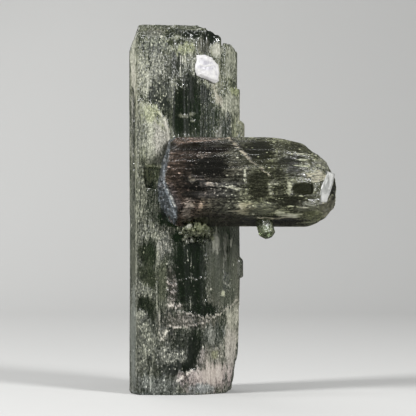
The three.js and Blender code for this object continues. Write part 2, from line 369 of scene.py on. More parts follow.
def skin(name, field, axes, whole=True):
    """The closed mesh over a field, as an object, and its vertices in millimetres."""
    inside = field < 0
    core = tuple(n - 1 for n in field.shape)
    count = np.zeros(core, np.int8)
    for i, j, k in itertools.product((0, 1), repeat=3):
        count += inside[i : core[0] + i, j : core[1] + j, k : core[2] + k]
    cells = np.argwhere((count > 0) & (count < 8))
    index = np.full(core, -1)
    index[tuple(cells.T)] = np.arange(len(cells))
    faces = crossing_faces(inside, index)
    start = np.array([axis[0] for axis in axes])
    step = np.array([axis[1] - axis[0] for axis in axes])
    vertices = start + crossing_points(field, cells) * step
    if whole:
        kept = main_part(len(vertices), faces)
        vertices = vertices[kept]
        renumber = np.cumsum(kept) - 1
        faces = renumber[faces[kept[faces[:, 0]]]]
    made = add_mesh(name, vertices * MM, faces)
    print(name, "has", 2 * len(faces), "triangles")
    return made, vertices


def paint(piece, values):
    """Stores one number a vertex under each name, for the material to read."""
    for name, value in values.items():
        layer = piece.data.attributes.new(name, "FLOAT", "POINT")
        filled = np.broadcast_to(np.clip(value, 0, 1), len(piece.data.vertices))
        layer.data.foreach_set("value", filled.astype(np.float32))


print("skin maker ready")

# %% [markdown]
# ## Patches
# The crystal isn't one colour: there are clear dark windows, frosted and etched stretches, veils,
# a pink foot and a brown-mauve end. Each is a patch: an oval or a rounded box on the front, whose
# rim is torn by noise stretched along the crystal, because cracks and etching follow its fibres.
# A crack or a ridge is a stroke along a few points. The same patches rough up the surface and
# colour it, so relief and colour agree. Where patches overlap, the later one lies on top. A few
# patches paint light instead of colour: the shade in the crevices under the cross crystal, and a
# glint on the top of its ridge.

# %% Spots and strokes
# frost is how white and etched the surface is, grain how granular, and satin how even and smooth.
# In a few patches frost paints light: low for painted shade, high for a painted glint.
# olive, rose and blue are how far the colour leans that way, and dent is how far it is pressed in.
LOOKS = ("frost", "grain", "satin", "olive", "rose", "blue", "dent")
UNSET = dict.fromkeys(LOOKS, 0.0)
# How square a patch is: 2 is an oval, and more is nearer to a box
ROUNDNESS = 2.4
# Half sizes from which a patch is fully torn, in millimetres
FULLY_TORN = (1.6, 2.5)
# How far fray breaks up the rim of a patch, and the range that is left of it
FRAY_STRENGTH = 1.6
FRAYED_RIM = (0.1, 0.9)
# A stroke is torn by this share of the tear, and is full on this share of its width
STROKE_TEAR = 0.3
STROKE_CORE = 0.3
# The fray at which a nearly whole stroke is cut, and a dashed one
WHOLE_BREAKS = (-1.0, -0.3)
DASH_BREAKS = (-0.55, 0.15)


def spot(at, size, soft=0.65, tilt=0.0, **looks):
    """A patch round a middle, with half sizes, turned by tilt degrees, and the values it sets.

    Small patches are torn less than big ones. Fray breaks up a soft rim, so that one finish gives
    way to the next in fibres and specks.
    """
    c, s = math.cos(math.radians(tilt)), math.sin(math.radians(tilt))

    def cover(a, b, tear_a, tear_b, fray):
        da = a - at[0] + tear_a * min(1, size[0] / FULLY_TORN[0])
        db = b - at[1] + tear_b * min(1, size[1] / FULLY_TORN[1])
        da, db = da * c + db * s, db * c - da * s
        far = np.abs(da / size[0]) ** ROUNDNESS + np.abs(db / size[1]) ** ROUNDNESS
        there = ramp(far ** (1 / ROUNDNESS), 1 + soft, 1 - soft)
        return ramp(there + FRAY_STRENGTH * fray * there * (1 - there), *FRAYED_RIM)

    return cover, looks


def stroke(points, width, whole=False, **looks):
    """A thin patch along a line of points, nearly whole or in dashes, and the values it sets."""
    breaks = WHOLE_BREAKS if whole else DASH_BREAKS

    def cover(a, b, tear_a, tear_b, fray):
        a, b = a + STROKE_TEAR * tear_a, b + STROKE_TEAR * tear_b
        far = math.inf
        for (a0, b0), (a1, b1) in zip(points, points[1:]):
            run_a, run_b = a1 - a0, b1 - b0
            t = np.clip(((a - a0) * run_a + (b - b0) * run_b) / (run_a**2 + run_b**2), 0, 1)
            far = np.minimum(far, np.hypot(a - a0 - t * run_a, b - b0 - t * run_b))
        return ramp(far, width, STROKE_CORE * width) * ramp(fray, *breaks)

    return cover, looks


def lay(values, looks, share):
    """Moves each value that the looks name towards its new one, by a share at each point."""
    for name, value in looks.items():
        values[name] = values[name] + (value - values[name]) * share


def layered(start, patches, a, b, tear_a, tear_b, fray, weight):
    """The starting values with the patches laid over them in turn."""
    values = dict(start)
    for cover, looks in patches.values():
        lay(values, looks, cover(a, b, tear_a, tear_b, fray) * weight)
    return values


print("patches can set", LOOKS)

# %% [markdown]
# ## The upright crystal
# A prism with a rounded three-sided section, which is the habit of elbaite, with ribs along its
# whole length. Its outline repeats the named sizes of the solid model.

# %% Sizes of the upright crystal, in millimetres
HEIGHT = 76.0
MAIN_CORNERS = [
    (-9.6, -8.2), (-3.2, -8.7), (3.3, -7.7), (9.5, -3.1), (11.4, 0.6),
    (9.2, 6.3), (3.6, 8.9), (-4.0, 8.6), (-9.4, 5.2), (-11.7, 0.2),
    (-11.3, -4.2),
]
FOOT_TAPER = {"height": 24.0, "share": 0.06}
# Chips and bevels: point, normal, and how rough the broken face is
MAIN_BEVELS = {
    "front of the top": ((0, -8.6, 73), (0.05, -0.36, 0.93), 0.22),
    "back of the top": ((0, 4.5, HEIGHT), (-0.1, 0.3, 0.95), 0.3),
    "left of the top, steep": ((-11.2, 0, 72), (-0.94, -0.12, 0.33), 0.12),
    "left of the top, flat": ((-9.8, 0, 75.1), (-0.6, 0.1, 0.79), 0.15),
    "right of the top": ((4.5, 0, 74.5), (0.66, 0, 0.75), 0.45),
    "right of the foot": ((9.9, 0, 4), (0.965, -0.1, -0.23), 0.3),
    "back of the foot": ((0, 8.2, 1.6), (0.1, 0.75, -0.6), 0.3),
    "back left of the top": ((-7.2, 6.4, 70.5), (-0.5, 0.62, 0.6), 0.3),
}
CORNER_GAP = {"left": 7.35, "floor": 62.2, "rise": 0.16, "rise_from": 7}
COLUMN = [(7.75, -4.1), (9.2, -3.2), (10.4, -1.4), (10.8, 0.6), (9.6, 3.6), (7.75, 3.9)]
COLUMN_TOP = 72.0
COLUMN_ROOT = 2
COLUMN_SHOULDER = ((10.3, 0, 70.9), (0.75, -0.1, 0.66), 0.3)
COLUMN_WEB = ((7.0, -4.3, 61.0), (8.4, 3.4, 71.2))
SLAB_OUTLINE = [
    (-9.1, 47.6), (-7.0, 46.9), (-3.6, 48.3), (-3.1, 51.5), (-3.3, 54.2),
    (-4.1, 56.1), (-5.4, 57.7), (-7.0, 58.9), (-9.1, 60.1),
]
SLAB = {"back": -7.2, "front": -9.55, "bevel": 0.9}
HOLLOW_OUTLINE = [(-7.9, 42.5), (-5.6, 41.9), (-4.4, 43.4), (-4.7, 46.2), (-8.4, 46.4)]
HOLLOW = {"back": -7.3, "front": -11.0, "bevel": 0.5}
# Foot, radius and length of the thin crystals in parallel growth
PARALLEL_CRYSTALS = [
    ((10.9, 0.5, 49.6), 1.55, 6.7),
    ((10.6, 0.6, 23.6), 1.55, 4.5),
    ((6.2, -4.3, 64.0), 1.25, 9.7),
    ((3.3, -5.6, 66.0), 1.35, 9.0),
    ((0.6, -7.0, 68.0), 1.2, 6.2),
    ((5.0, 6.9, 9.5), 2.7, 43.0),
    ((-6.3, 5.7, 24.0), 2.2, 36.0),
]
UPRIGHT = (0, 0, 1)
print("upright crystal", HEIGHT, "mm tall")

# %% Patches of the upright crystal
# A spot has its middle and its half sizes, and a stroke its points and its width, as x and z in
# millimetres. Then each says what it sets.
MAIN_PATCHES = {
    "left strip, high": spot((-10.6, 66.8), (0.6, 6.3), frost=0.65, olive=0.25, grain=0.5),
    "left strip, middle": spot((-10.7, 53.7), (0.5, 6.8), frost=0.45, olive=0.1),
    "left strip, low": spot((-10.6, 39.6), (0.6, 7.2), frost=0.35, olive=0.1, satin=0.9),
    "left strip, dim": spot((-10.6, 27.4), (0.6, 5.0), frost=0.35, olive=0.2, satin=0.9),
    "left strip, foot": spot((-10.6, 11.3), (0.6, 11.1), frost=0.45, blue=0.3, satin=0.9),
    "frosted shoulder": spot((-8.6, 65.6), (1.4, 4.7), frost=0.5, olive=0.35, grain=0.6),
    "shoulder, inner": spot((-5.9, 66.8), (1.2, 3.5), frost=0.5, olive=0.2, grain=0.8),
    "shoulder streak": spot((-7.3, 64.0), (0.6, 2.2), frost=0.65, olive=0.2),
    "grey streaks under the band": spot((-3.7, 66.4), (1.0, 3.1), frost=0.4, olive=0.1),
    "top band, grey": spot((-6.4, 73.8), (2.3, 0.8), frost=0.35, olive=0.2, grain=0.8),
    "top band, dark green": spot((-3.1, 73.8), (1.0, 1.0), frost=0.2, olive=0.9, grain=0.6),
    "top band, pale bit": spot((-1.3, 74.3), (0.7, 0.7), frost=0.15, grain=0.8),
    "top band, dark olive": spot((1.5, 73.6), (2.1, 1.0), frost=0, olive=0.8, rose=0.2, grain=0.4),
    "top right edge": spot((5.2, 73.2), (1.5, 1.6), frost=0.05, olive=0.2, rose=0.2, grain=0.3),
    "speckle": spot((-6.1, 71.3), (2.6, 1.2), frost=0.35, blue=0.15, grain=1),
    "olive under the band": spot((-1.4, 72.0), (2.4, 0.7), frost=0.25, olive=1, grain=0.5),
    "green glow": spot((0.2, 70.4), (2.0, 1.1), frost=0.5, olive=1, grain=0.5),
    "brown streaks": spot((3.8, 71.1), (1.3, 1.6), frost=0.3, rose=0.4, grain=0.1, satin=0.5),
    "pale lump": spot((6.4, 70.4), (1.1, 1.3), frost=0.7, olive=0.15, grain=0.6),
    "streaky middle": spot((-2.2, 66.9), (0.8, 2.3), frost=0.2, olive=0.1),
    "streaky pale": spot((-1.0, 66.9), (0.6, 2.1), frost=0.2, olive=0.1),
    "streaky right": spot((1.0, 67.2), (1.2, 2.0), frost=0.5, olive=0.2),
    "by the chip": spot((1.1, 65.6), (1.3, 1.8), frost=0.4),
    "dome window, left": spot((-1.4, 57.2), (1.2, 4.6), frost=0.05, olive=0.5, satin=0.5),
    "dome window": spot((0.9, 58.4), (2.8, 5.8), frost=0.05, olive=0.5, grain=0.2, satin=0.7),
    "dome window, top": spot((1.0, 63.6), (1.6, 1.8), frost=0.1, olive=0.2, satin=0.4),
    "wisp, left": spot((-0.3, 56.8), (1.1, 0.4), tilt=-8, soft=0.9, frost=0.4, rose=0.2),
    "wisp, right": spot((1.3, 57.2), (1.0, 0.35), tilt=12, soft=0.9, frost=0.4, rose=0.2),
    "under the wisp": spot((1.5, 55.9), (0.5, 0.15), frost=0.6),
    "dome window, right": spot((4.0, 61.3), (1.3, 2.0), frost=0.1, olive=0.5, grain=0.7, satin=0),
    "grey left of dome": spot((-4.8, 61.8), (2.2, 2.2), frost=0.2, grain=1),
    "dark pocket": spot((-6.6, 61.4), (0.9, 1.5), frost=0.2, olive=0.3, grain=0.9),
    "dark pocket, foot": spot((-4.8, 59.2), (1.6, 1.7), soft=0.9, frost=0.05, olive=0.5, grain=1),
    "grey right of dome": spot((4.7, 55.8), (1.8, 3.7), frost=0.15, olive=0.8, grain=0.6, satin=0),
    "lilac patch over the cross": spot((6.8, 53.4), (0.7, 1.2), frost=0.5, rose=0.4, blue=0.3),
    "white streak": spot((6.9, 60.3), (0.8, 0.9), frost=0.7, rose=0.45, grain=0.6),
    "pale right corner": spot((9.2, 59.6), (2.0, 2.1), frost=0.6, olive=0.3, grain=0.6, satin=0.1),
    "dull right corner": spot((8.5, 55.1), (1.1, 2.5), frost=0.25, olive=0.1),
    "green right edge": spot((10.7, 54.4), (1.3, 1.8), frost=0.5, olive=0.7),
    "column": spot((9.2, 67.2), (1.4, 3.9), frost=0.55, olive=0.3, grain=0.4),
    "column, dark foot": spot((8.9, 63.8), (0.9, 1.2), frost=0.35, olive=0.6),
    "yellow lump": spot((10.3, 62.4), (0.9, 0.9), frost=0.55, olive=1),
    "hollow": spot((-6.7, 45.1), (2.0, 2.1), frost=0.45, olive=0.9),
    "hollow, lower": spot((-6.2, 40.7), (1.7, 2.2), frost=0.25, rose=0.15, grain=0.5),
    "mottled left": spot((-8.8, 37.9), (1.2, 6.3), frost=0.5, olive=0.4, grain=0.7),
    "pale ledge": spot((-6.5, 33.4), (3.1, 1.8), frost=0.45, olive=0.3, grain=0.7),
    "shaded crevice": spot((-3.3, 35.9), (1.8, 1.8), frost=0, olive=0.3),
    # Painted shade: the two crevice patches paint the shade under the cross crystal as clear, dark
    # glass
    "twisted sliver": spot((-3.7, 33.6), (1.8, 0.8), frost=0.3, rose=0.3),
    "second crevice": spot((-1.1, 32.0), (1.3, 1.0), frost=0, olive=0.2),
    "ragged veil": spot((-4.2, 30.4), (1.5, 2.4), frost=0.4, rose=0.1, grain=0.8),
    "ragged veil, edge": spot((-5.5, 29.3), (0.4, 2.6), frost=0.6),
    "left window": spot((-7.7, 28.7), (1.8, 2.4), frost=0.15, olive=0.6, satin=0.6),
    "left window, low": spot((-7.5, 24.4), (2.0, 2.2), frost=0.2, olive=0.7, satin=0.6),
    "left flecks": spot((-8.4, 21.3), (1.4, 1.3), frost=0.4, olive=0.3, grain=0.8),
    "cream flakes, left": spot((-8.9, 16.4), (1.4, 0.7), frost=0.6, olive=0.2, grain=0.9),
    "low left window": spot((-7.9, 18.4), (2.0, 1.5), frost=0.15, olive=0.5, satin=0.4),
    "beside the veil": spot((-4.6, 23.4), (1.0, 4.1), frost=0.3, olive=0.5, satin=0.5),
    "middle window": spot((0.8, 24.6), (3.5, 6.9), frost=0, olive=0.15),
    "middle window, dark": spot((1.8, 27.0), (2.0, 4.0), frost=0, olive=0.15),
    "pink bars": spot((-2.6, 22.3), (1.0, 3.6), frost=0.25, rose=0.8),
    "white flake": spot((-1.9, 18.0), (1.6, 0.7), frost=0.3, rose=0.6),
    "satin face": spot((7.9, 25.8), (3.7, 7.9), frost=0.3, satin=0.9),
    "dark lines of the satin face": spot((8.6, 30.2), (0.6, 3.2), frost=0.5, grain=0.6, satin=0.4),
    "flecks of the satin face": spot((8.4, 22.6), (0.9, 2.4), frost=0.3, grain=0.8, satin=0.2),
    "satin bright": spot((6.4, 31.2), (0.7, 2.2), frost=0.6, grain=0.5, satin=0.3),
    "satin right rim": spot((10.6, 27.1), (1.0, 5.7), frost=0.35, satin=0.9),
    "green fleck": spot((7.8, 20.4), (0.4, 0.6), frost=0.7, olive=0.6, grain=0.5),
    "right of the arc": spot((9.8, 15.4), (1.3, 2.4), frost=0.6, olive=0.3, rose=0.2, grain=0.6),
    "arc, inner left": spot((-3.8, 14.3), (1.9, 3.1), frost=0.2, rose=0.35, grain=0.8),
    "pale arc band": spot((1.0, 15.1), (5.0, 1.5), frost=0.35, rose=0.6, grain=0.3, satin=0.3),
    "dark over the arc": spot((3.3, 17.3), (3.1, 1.4), frost=0.05, olive=0.1),
    "mottled low left": spot((-7.7, 10.6), (2.2, 5.9), frost=0.35, olive=0.3, grain=0.9),
    "mottled low middle": spot((-2.7, 7.9), (3.0, 3.7), frost=0.35, olive=0.1, grain=1),
    "pale flakes, low left": spot((-4.2, 12.4), (0.9, 1.2), frost=0.4, grain=0.9),
    "dark notch, low left": spot((-6.5, 14.7), (0.5, 2.0), frost=0.2),
    "dark notch, foot": spot((-7.0, 6.5), (0.9, 1.0), frost=0.3, grain=0.6),
    "low window": spot((2.2, 9.2), (1.6, 4.5), frost=0.1, olive=0.05),
    "low window, left": spot((-1.0, 11.3), (2.0, 2.1), frost=0.2, grain=0.5),
    "low window, foot": spot((-0.8, 5.5), (3.9, 1.2), frost=0, satin=0.3),
    "blue green facets": spot((5.8, 12.0), (2.1, 2.4), frost=0.3, blue=0.3, grain=0.5, satin=0.3),
    "lighter streak": spot((5.4, 12.2), (0.7, 2.2), frost=0.5, grain=0.8),
    "pink patch": spot((3.9, 7.5), (1.2, 2.0), frost=0.5, rose=0.6),
    "low right, dull": spot((6.3, 7.9), (1.6, 2.0), frost=0.45, rose=0.3, olive=0.2),
    "green spot low": spot((6.1, 8.0), (0.8, 0.9), frost=0.55, olive=0.8),
    "pale right rim": spot((9.4, 9.0), (1.4, 4.3), frost=0.65, rose=0.45, grain=0.6),
    "pink foot": spot((4.8, 2.7), (5.3, 2.1), soft=0.9, frost=0.5, rose=1, grain=0.7),
    "pink foot, bright": spot(
        (5.7, 4.3), (3.5, 2.0), soft=0.9, frost=0.75, rose=0.9, grain=0.4, satin=0.4
    ),
    "pink spike": spot((-0.2, 3.6), (1.6, 1.3), frost=0.45, rose=0.9),
    "grey foot": spot((-5.7, 2.2), (4.3, 2.0), frost=0.35, blue=0.3, grain=0.9),
    "blue grey foot": spot((3.5, 1.3), (2.4, 0.9), frost=0.55, blue=0.6, rose=0.4, grain=0.6),
}
# The pale plate is painted by its own outline, and these patches lie on it
PLATE_LOOK = {"frost": 0.6, "grain": 0.6, "satin": 0.2, "olive": 0.3, "rose": 0.0, "blue": 0.0}
PLATE_PATCHES = {
    "plate, grey left": spot((-8.9, 52.5), (1.3, 6.5), frost=0.45, olive=0.3, grain=0.6),
    "plate, cream right": spot((-4.7, 51.8), (1.6, 4.2), frost=0.6, olive=0.1, rose=0.2, grain=0.6),
    "plate, olive top": spot((-7.0, 57.4), (2.0, 1.8), soft=0.9, frost=0.55, olive=0.8, grain=0.5),
    "plate, dull foot": spot((-8.4, 48.9), (1.0, 1.8), frost=0.45, olive=0.5, grain=0.5),
}
MAIN_STROKES = {
    "left edge of the plate": stroke([(-10.3, 51.5), (-10.3, 46.5)], 0.25, frost=0.7, olive=0.4),
    "edge of the left strip": stroke([(-9.9, 70), (-10.0, 30), (-10.0, 3)], 0.14, frost=0.55),
    "dark line in the strip": stroke([(-10.5, 62), (-10.4, 40)], 0.16, frost=0.05, dent=0.2),
    "left of the streak": stroke([(-7.9, 64.5), (-7.9, 60.5)], 0.2, frost=0.45),
    "bright line over the dome": stroke([(-0.9, 69.0), (-0.95, 64.8)], 0.16, frost=0.8),
    "second line over the dome": stroke([(-0.4, 68.6), (-0.4, 66.0)], 0.12, frost=0.8),
    "third line over the dome": stroke([(0.3, 67.8), (0.3, 62.4)], 0.12, frost=0.6),
    "line at the dome's left": stroke([(-2.6, 63.5), (-2.6, 55.5)], 0.14, frost=0.5),
    "line in the dome": stroke([(0.5, 64.4), (0.5, 60.2)], 0.12, frost=0.4),
    "green notch of the plate": stroke(
        [(-5.9, 57.3), (-5.0, 55.9), (-4.3, 54.0)], 0.5, frost=0.35, olive=1
    ),
    "rim of the plate": stroke(
        [(-5.4, 57.6), (-4.1, 56.0), (-3.5, 54.2), (-3.3, 51.6), (-3.9, 48.9)],
        0.22, whole=True, frost=0.8,
    ),
    "line on the right corner": stroke(
        [(7.0, 60.2), (8.2, 58.4), (9.6, 57.9), (11.0, 56.0)], 0.16, whole=True, frost=0.8
    ),
    "streak on the right corner": stroke(
        [(5.9, 63.0), (6.5, 60.8), (7.3, 59.0)], 0.35, whole=True, frost=0.7, rose=0.5
    ),
    "edge of the left window": stroke([(-5.7, 32), (-5.8, 27.0), (-5.7, 17)], 0.13, frost=0.6),
    "fine line in the window": stroke([(1.2, 31), (1.15, 17)], 0.12, frost=0.4),
    "edge of the satin face": stroke([(4.1, 32), (4.2, 19)], 0.14, frost=0, dent=0.15),
    "dark stripe in the satin face": stroke(
        [(8.9, 33.4), (8.8, 26.5)], 0.5, frost=0.2, olive=0.4, dent=0.05
    ),
    "pale line in the satin face": stroke([(7.9, 32.6), (7.9, 22)], 0.12, frost=0.5),
    "flecks in the satin face": stroke([(9.5, 31.6), (9.5, 30.4)], 0.4, frost=0.7),
    "dashes in the window": stroke([(0.55, 29.2), (0.6, 27.0)], 0.16, frost=0.95),
    "thin crack": stroke(
        [(-6.0, 24.0), (-2, 23.4), (4.2, 23.6)], 0.13, whole=True, frost=0.4, rose=0.4
    ),
    "pink bar, high": stroke([(-3.7, 22.8), (-1.8, 22.5)], 0.3, whole=True, frost=0.6, rose=0.8),
    "pink bar, middle": stroke([(-3.7, 21.1), (-1.9, 20.9)], 0.3, whole=True, frost=0.6, rose=0.8),
    "pink bar, low": stroke([(-3.5, 19.5), (-2.1, 19.4)], 0.25, whole=True, frost=0.55, rose=0.8),
    "arc, lower edge": stroke(
        [(-3.6, 14.2), (-1.2, 13.7), (0.5, 14.0), (3.4, 14.6), (5.5, 15.1)],
        0.25, frost=0.8, rose=0.6, grain=0.2,
    ),
    "fibre in the arc": stroke([(-3.4, 15.4), (0.2, 15.1), (4.6, 15.6)], 0.2, frost=0.5, rose=0.5),
    "white flake, left bit": stroke([(-3.2, 18.0), (-2.3, 18.6)], 0.3, whole=True, frost=0.95),
    "white flake, right bit": stroke([(-1.8, 17.9), (-1.0, 18.4)], 0.25, whole=True, frost=0.95),
    "blue left rim": stroke([(-11.6, 42), (-11.6, 1)], 0.2, frost=0.45, blue=0.3, satin=0.6),
    "blue rim of the foot": stroke(
        [(-10.8, 0.3), (-2.0, 0.25), (5.5, 0.5)], 0.3, whole=True, frost=0.5, blue=0.6
    ),
    "arc, upper edge": stroke(
        [(-1.8, 17.1), (1.1, 16.5), (4.1, 15.8), (7.1, 16.1), (9.2, 17.7), (10.8, 19.2)],
        0.2, whole=True, frost=0.7, rose=0.5,
    ),
    "white line, low left": stroke([(-7.0, 5.8), (-7.0, 1.0)], 0.16, whole=True, frost=0.75),
    "line left of the arc": stroke([(-5.2, 18.0), (-5.3, 12.0)], 0.2, frost=0.6, rose=0.3),
    "bright flake, low left": stroke([(-4.6, 11.6), (-3.6, 13.2)], 0.35, frost=1),
    "spike of the pink foot": stroke([(-1.6, 2.8), (1.2, 5.0)], 0.4, frost=0.9, rose=0.6),
}

# The back is the same mineral: windows, frosted ends and a pink foot. Its x is the same one as the
# front's.
BACK_PATCHES = {
    "back, frosted top": spot((-3.0, 68.0), (7.0, 8.0), frost=0.55, olive=0.4, grain=0.7),
    "back, window": spot((-4.5, 40.0), (3.0, 15.0), frost=0.05, olive=0.6, satin=0.5),
    "back, second window": spot((6.0, 58.0), (2.5, 8.0), frost=0.1, olive=0.5),
    "back, satin face": spot((3.0, 34.0), (3.0, 14.0), frost=0.4, satin=0.8),
    "back, veil": spot((-1.0, 24.0), (6.0, 3.0), frost=0.45, rose=0.6, grain=0.9),
    "back, pink foot": spot((1.0, 5.0), (9.0, 5.0), frost=0.6, rose=0.9, grain=0.6),
}

# Size of a bump along x, y and z in millimetres, and a seed
MAIN_NOISES = {
    "fibres": (0.35, 0.35, 3.0, 21),
    "dashes": (0.38, 0.38, 1.1, 25),
    "blotches": (2.2, 2.2, 8.0, 22),
    "clouds": (6.0, 6.0, 16.0, 24),
    "grain": (0.3, 0.3, 0.45, 23),
    "mottles": (1.1, 1.1, 1.9, 26),
    "long_mottles": (0.8, 0.8, 5.0, 27),
    "tear_x": (0.5, 0.5, 2.0, 31),
    "wide_tear_x": (1.3, 1.0, 1.8, 32),
    "tear_z": (0.4, 0.4, 8.0, 33),
    "short_tear_z": (0.3, 0.3, 0.8, 34),
}
# How far each kind of fine detail changes the frost. Granular places lose fibres and gain grain.
MAIN_DETAIL = {"fibres": 0.04, "fibres_lost": 0.02, "dashes": 0.04, "mottles": 0.06, "grain": 0.03}
GRAIN_GAINED = 0.05


def add_detail(values, bumps, detail):
    """Puts fine detail into the frost, less of it where the crystal is clear or satin."""
    room = 0.3 + 0.7 * ramp(values["frost"], 0, 0.4)
    room = room * (1 - 0.8 * values["satin"])
    change = (detail["fibres"] - detail["fibres_lost"] * values["grain"]) * bumps.fibres
    change = change + detail["dashes"] * bumps.dashes
    change = change + detail["mottles"] * (bumps.mottles + bumps.long_mottles)
    change = change + (detail["grain"] + GRAIN_GAINED * values["grain"]) * bumps.grain
    values["frost"] = values["frost"] + room * change


def main_look(x, y, z):
    """How frosted, granular, tinted and dented the upright crystal is at each point."""
    bumps = noises(x, y, z, MAIN_NOISES)
    start = {
        **UNSET,
        "frost": 0.36 + 0.12 * bumps.blotches + 0.12 * bumps.clouds,
        "grain": 0.3 + 0.3 * bumps.blotches,
        "olive": 0.15 + 0.25 * ramp(z, 30, 50) + 0.2 * bumps.clouds,
        "rose": 0.3 * ramp(bumps.clouds, 0.2, 0.8),
    }
    tear_x = 0.25 * bumps.tear_x + 0.2 * bumps.wide_tear_x
    tear_z = 1.2 * bumps.tear_z + 0.4 * bumps.short_tear_z
    fray = 0.6 * bumps.fibres + 0.5 * bumps.dashes + 0.5 * bumps.grain
    where = (x, z, tear_x, tear_z, fray)
    on_front, on_back = ramp(y, 2.0, -0.5), ramp(y, 2.0, 4.5)
    values = layered(start, BACK_PATCHES, *where, on_back)
    values = layered(values, MAIN_PATCHES, *where, on_front)
    rim = prism(x + 0.2 * tear_x, z + 0.1 * tear_z, SLAB_OUTLINE)[0]
    lay(values, PLATE_LOOK, ramp(rim, 0.25, -0.15) * ramp(y, -8.2, -8.6))
    values = layered(values, PLATE_PATCHES | MAIN_STROKES, *where, on_front)
    add_detail(values, bumps, MAIN_DETAIL)
    return values


print(len(MAIN_PATCHES), "patches and", len(MAIN_STROKES), "strokes on the upright crystal")

# %% Carve the upright crystal
MAIN_STEP = (0.2, 0.2, 0.4)
# How far from the plain solid the relief is worked out, in millimetres
MAIN_REACH = 1.1
# Ribs: size of one across the face and along the crystal, and height of each kind, in millimetres.
# Folds stand on the smooth ribs, as a share of their height.
RIB_SIZES = {"bends": (3.0, 14), "narrow": (0.42, 12), "smooth": (2.3, 45), "folds": (0.8, 20)}
RIB_STEP = (1.35, 38)
RIB_HEIGHTS = {"bends": 0.08, "steps": 0.06, "narrow": 0.035, "smooth": 0.11, "folds": 0.4}
# The ends of the flat steps are shifted this far, in noise of this size
END_SHIFT, END_SIZE = 0.5, 1.25
MAIN_RIB_SEED = 51
MAIN_RELIEF_NOISES = {
    "kernels": (0.42, 0.42, 1.3, 42),
    "grain": (0.32, 0.32, 0.5, 45),
    "lumps": (1.3, 1.3, 2.0, 43),
    "pits": (0.8, 0.8, 1.3, 44),
}
# How deep the etching is and what it is made of; how high the ribs are, and what etching takes away
MAIN_ETCHING = {"depth": 0.7, "kernels": 0.09, "lumps": 0.1, "pits": (0.45, 0.75)}
MAIN_RIBS = (1.1, 0.5)


def growth_ribs(way, height, seed):
    """Ribs along a prism face: flat steps and finer ribs on them, shifted a little along the way."""

    def ribs(kind, offset):
        across, along = RIB_SIZES[kind]
        return noise(way / across, height / along, seed=seed + offset)

    way = way + RIB_HEIGHTS["bends"] * ribs("bends", 0)
    shift = END_SHIFT * noise(way / END_SIZE, seed=seed)
    steps = cells_of(way / RIB_STEP[0], height / RIB_STEP[1] + shift, seed=seed + 1)
    smooth = ribs("smooth", 3) + RIB_HEIGHTS["folds"] * ribs("folds", 4)
    made = RIB_HEIGHTS["steps"] * steps + RIB_HEIGHTS["narrow"] * ribs("narrow", 2)
    return made + RIB_HEIGHTS["smooth"] * smooth


def etched_relief(look, ribs, bumps, etching, rib_height):
    """Ribs on the clean faces, with kernels, grain, lumps and pits on the etched ones."""
    etched = ramp(look["frost"], 0.1, 0.7)
    rough = (etching["kernels"] - 0.04 * look["grain"]) * bumps.kernels
    rough = rough + (0.03 + 0.07 * look["grain"]) * bumps.grain
    pits = ramp(bumps.pits, *etching["pits"])
    rough = rough + look["grain"] * (etching["lumps"] * bumps.lumps - 0.2 * pits)
    rough = etching["depth"] * etched * rough * (1 - 0.9 * look["satin"])
    return ribs * (rib_height[0] - rib_height[1] * etched) + rough - look["dent"]


def main_relief(x, y, z):
    """How far the surface of the upright crystal stands out from its plain solid."""
    ribs = growth_ribs(prism(x, y, MAIN_CORNERS)[1], z, MAIN_RIB_SEED)
    bumps = noises(x, y, z, MAIN_RELIEF_NOISES)
    return etched_relief(main_look(x, y, z), ribs, bumps, MAIN_ETCHING, MAIN_RIBS)


def corner_gap(x, z):
    """The broken top right corner, as an open space whose floor rises to the right."""
    ground = CORNER_GAP["floor"] + CORNER_GAP["rise"] * (x - CORNER_GAP["rise_from"])
    return np.maximum(CORNER_GAP["left"] - x, ground - z)


def main_field(x, y, z):
    """The plain solid of the upright crystal."""
    low = np.clip(1 - z / FOOT_TAPER["height"], 0, 1)
    full_x = np.where(x > 0, x / (1 - FOOT_TAPER["share"] * low), x)
    steps = broken_steps(x, y, 1.3, 0.6, 61)
    made = chipped(prism(full_x, y, MAIN_CORNERS)[0], x, y, z, MAIN_BEVELS.values(), steps)
    made = np.maximum(made, -corner_gap(x, z))
    column = highest(prism(x, y, COLUMN)[0], z - COLUMN_TOP, CORNER_GAP["floor"] - COLUMN_ROOT - z)
    column = chipped(column, x, y, z, [COLUMN_SHOULDER], steps)
    web = block(x, y, z, *COLUMN_WEB)
    made = lowest(made, column, web, plate(x, y, z, SLAB_OUTLINE, **SLAB))
    made = np.maximum(made, -plate(x, y, z, HOLLOW_OUTLINE, **HOLLOW))
    for foot, radius, length in PARALLEL_CRYSTALS:
        made = np.minimum(made, small_crystal(x, y, z, foot, UPRIGHT, radius, length))
    return made


axes = grid((-12.6, -10.4, 0), (13.2, 10.6, HEIGHT), MAIN_STEP)
x, y, z = np.ix_(*axes)
field = main_field(x, y, z)
relieve(field, axes, MAIN_REACH, main_relief)
field = highest(field, -z, z - HEIGHT)
upright, at = skin("upright_crystal", field, axes)
paint(upright, main_look(*at.T))

# %% [markdown]
# ## The cross crystal
# The shorter crystal lies along +X. Its ribs run along it, its left end is broken, and its right
# end is rounded: it is a bundle of fibres of unequal length, so the dome is stepped by giving
# each small cell of its section its own length.

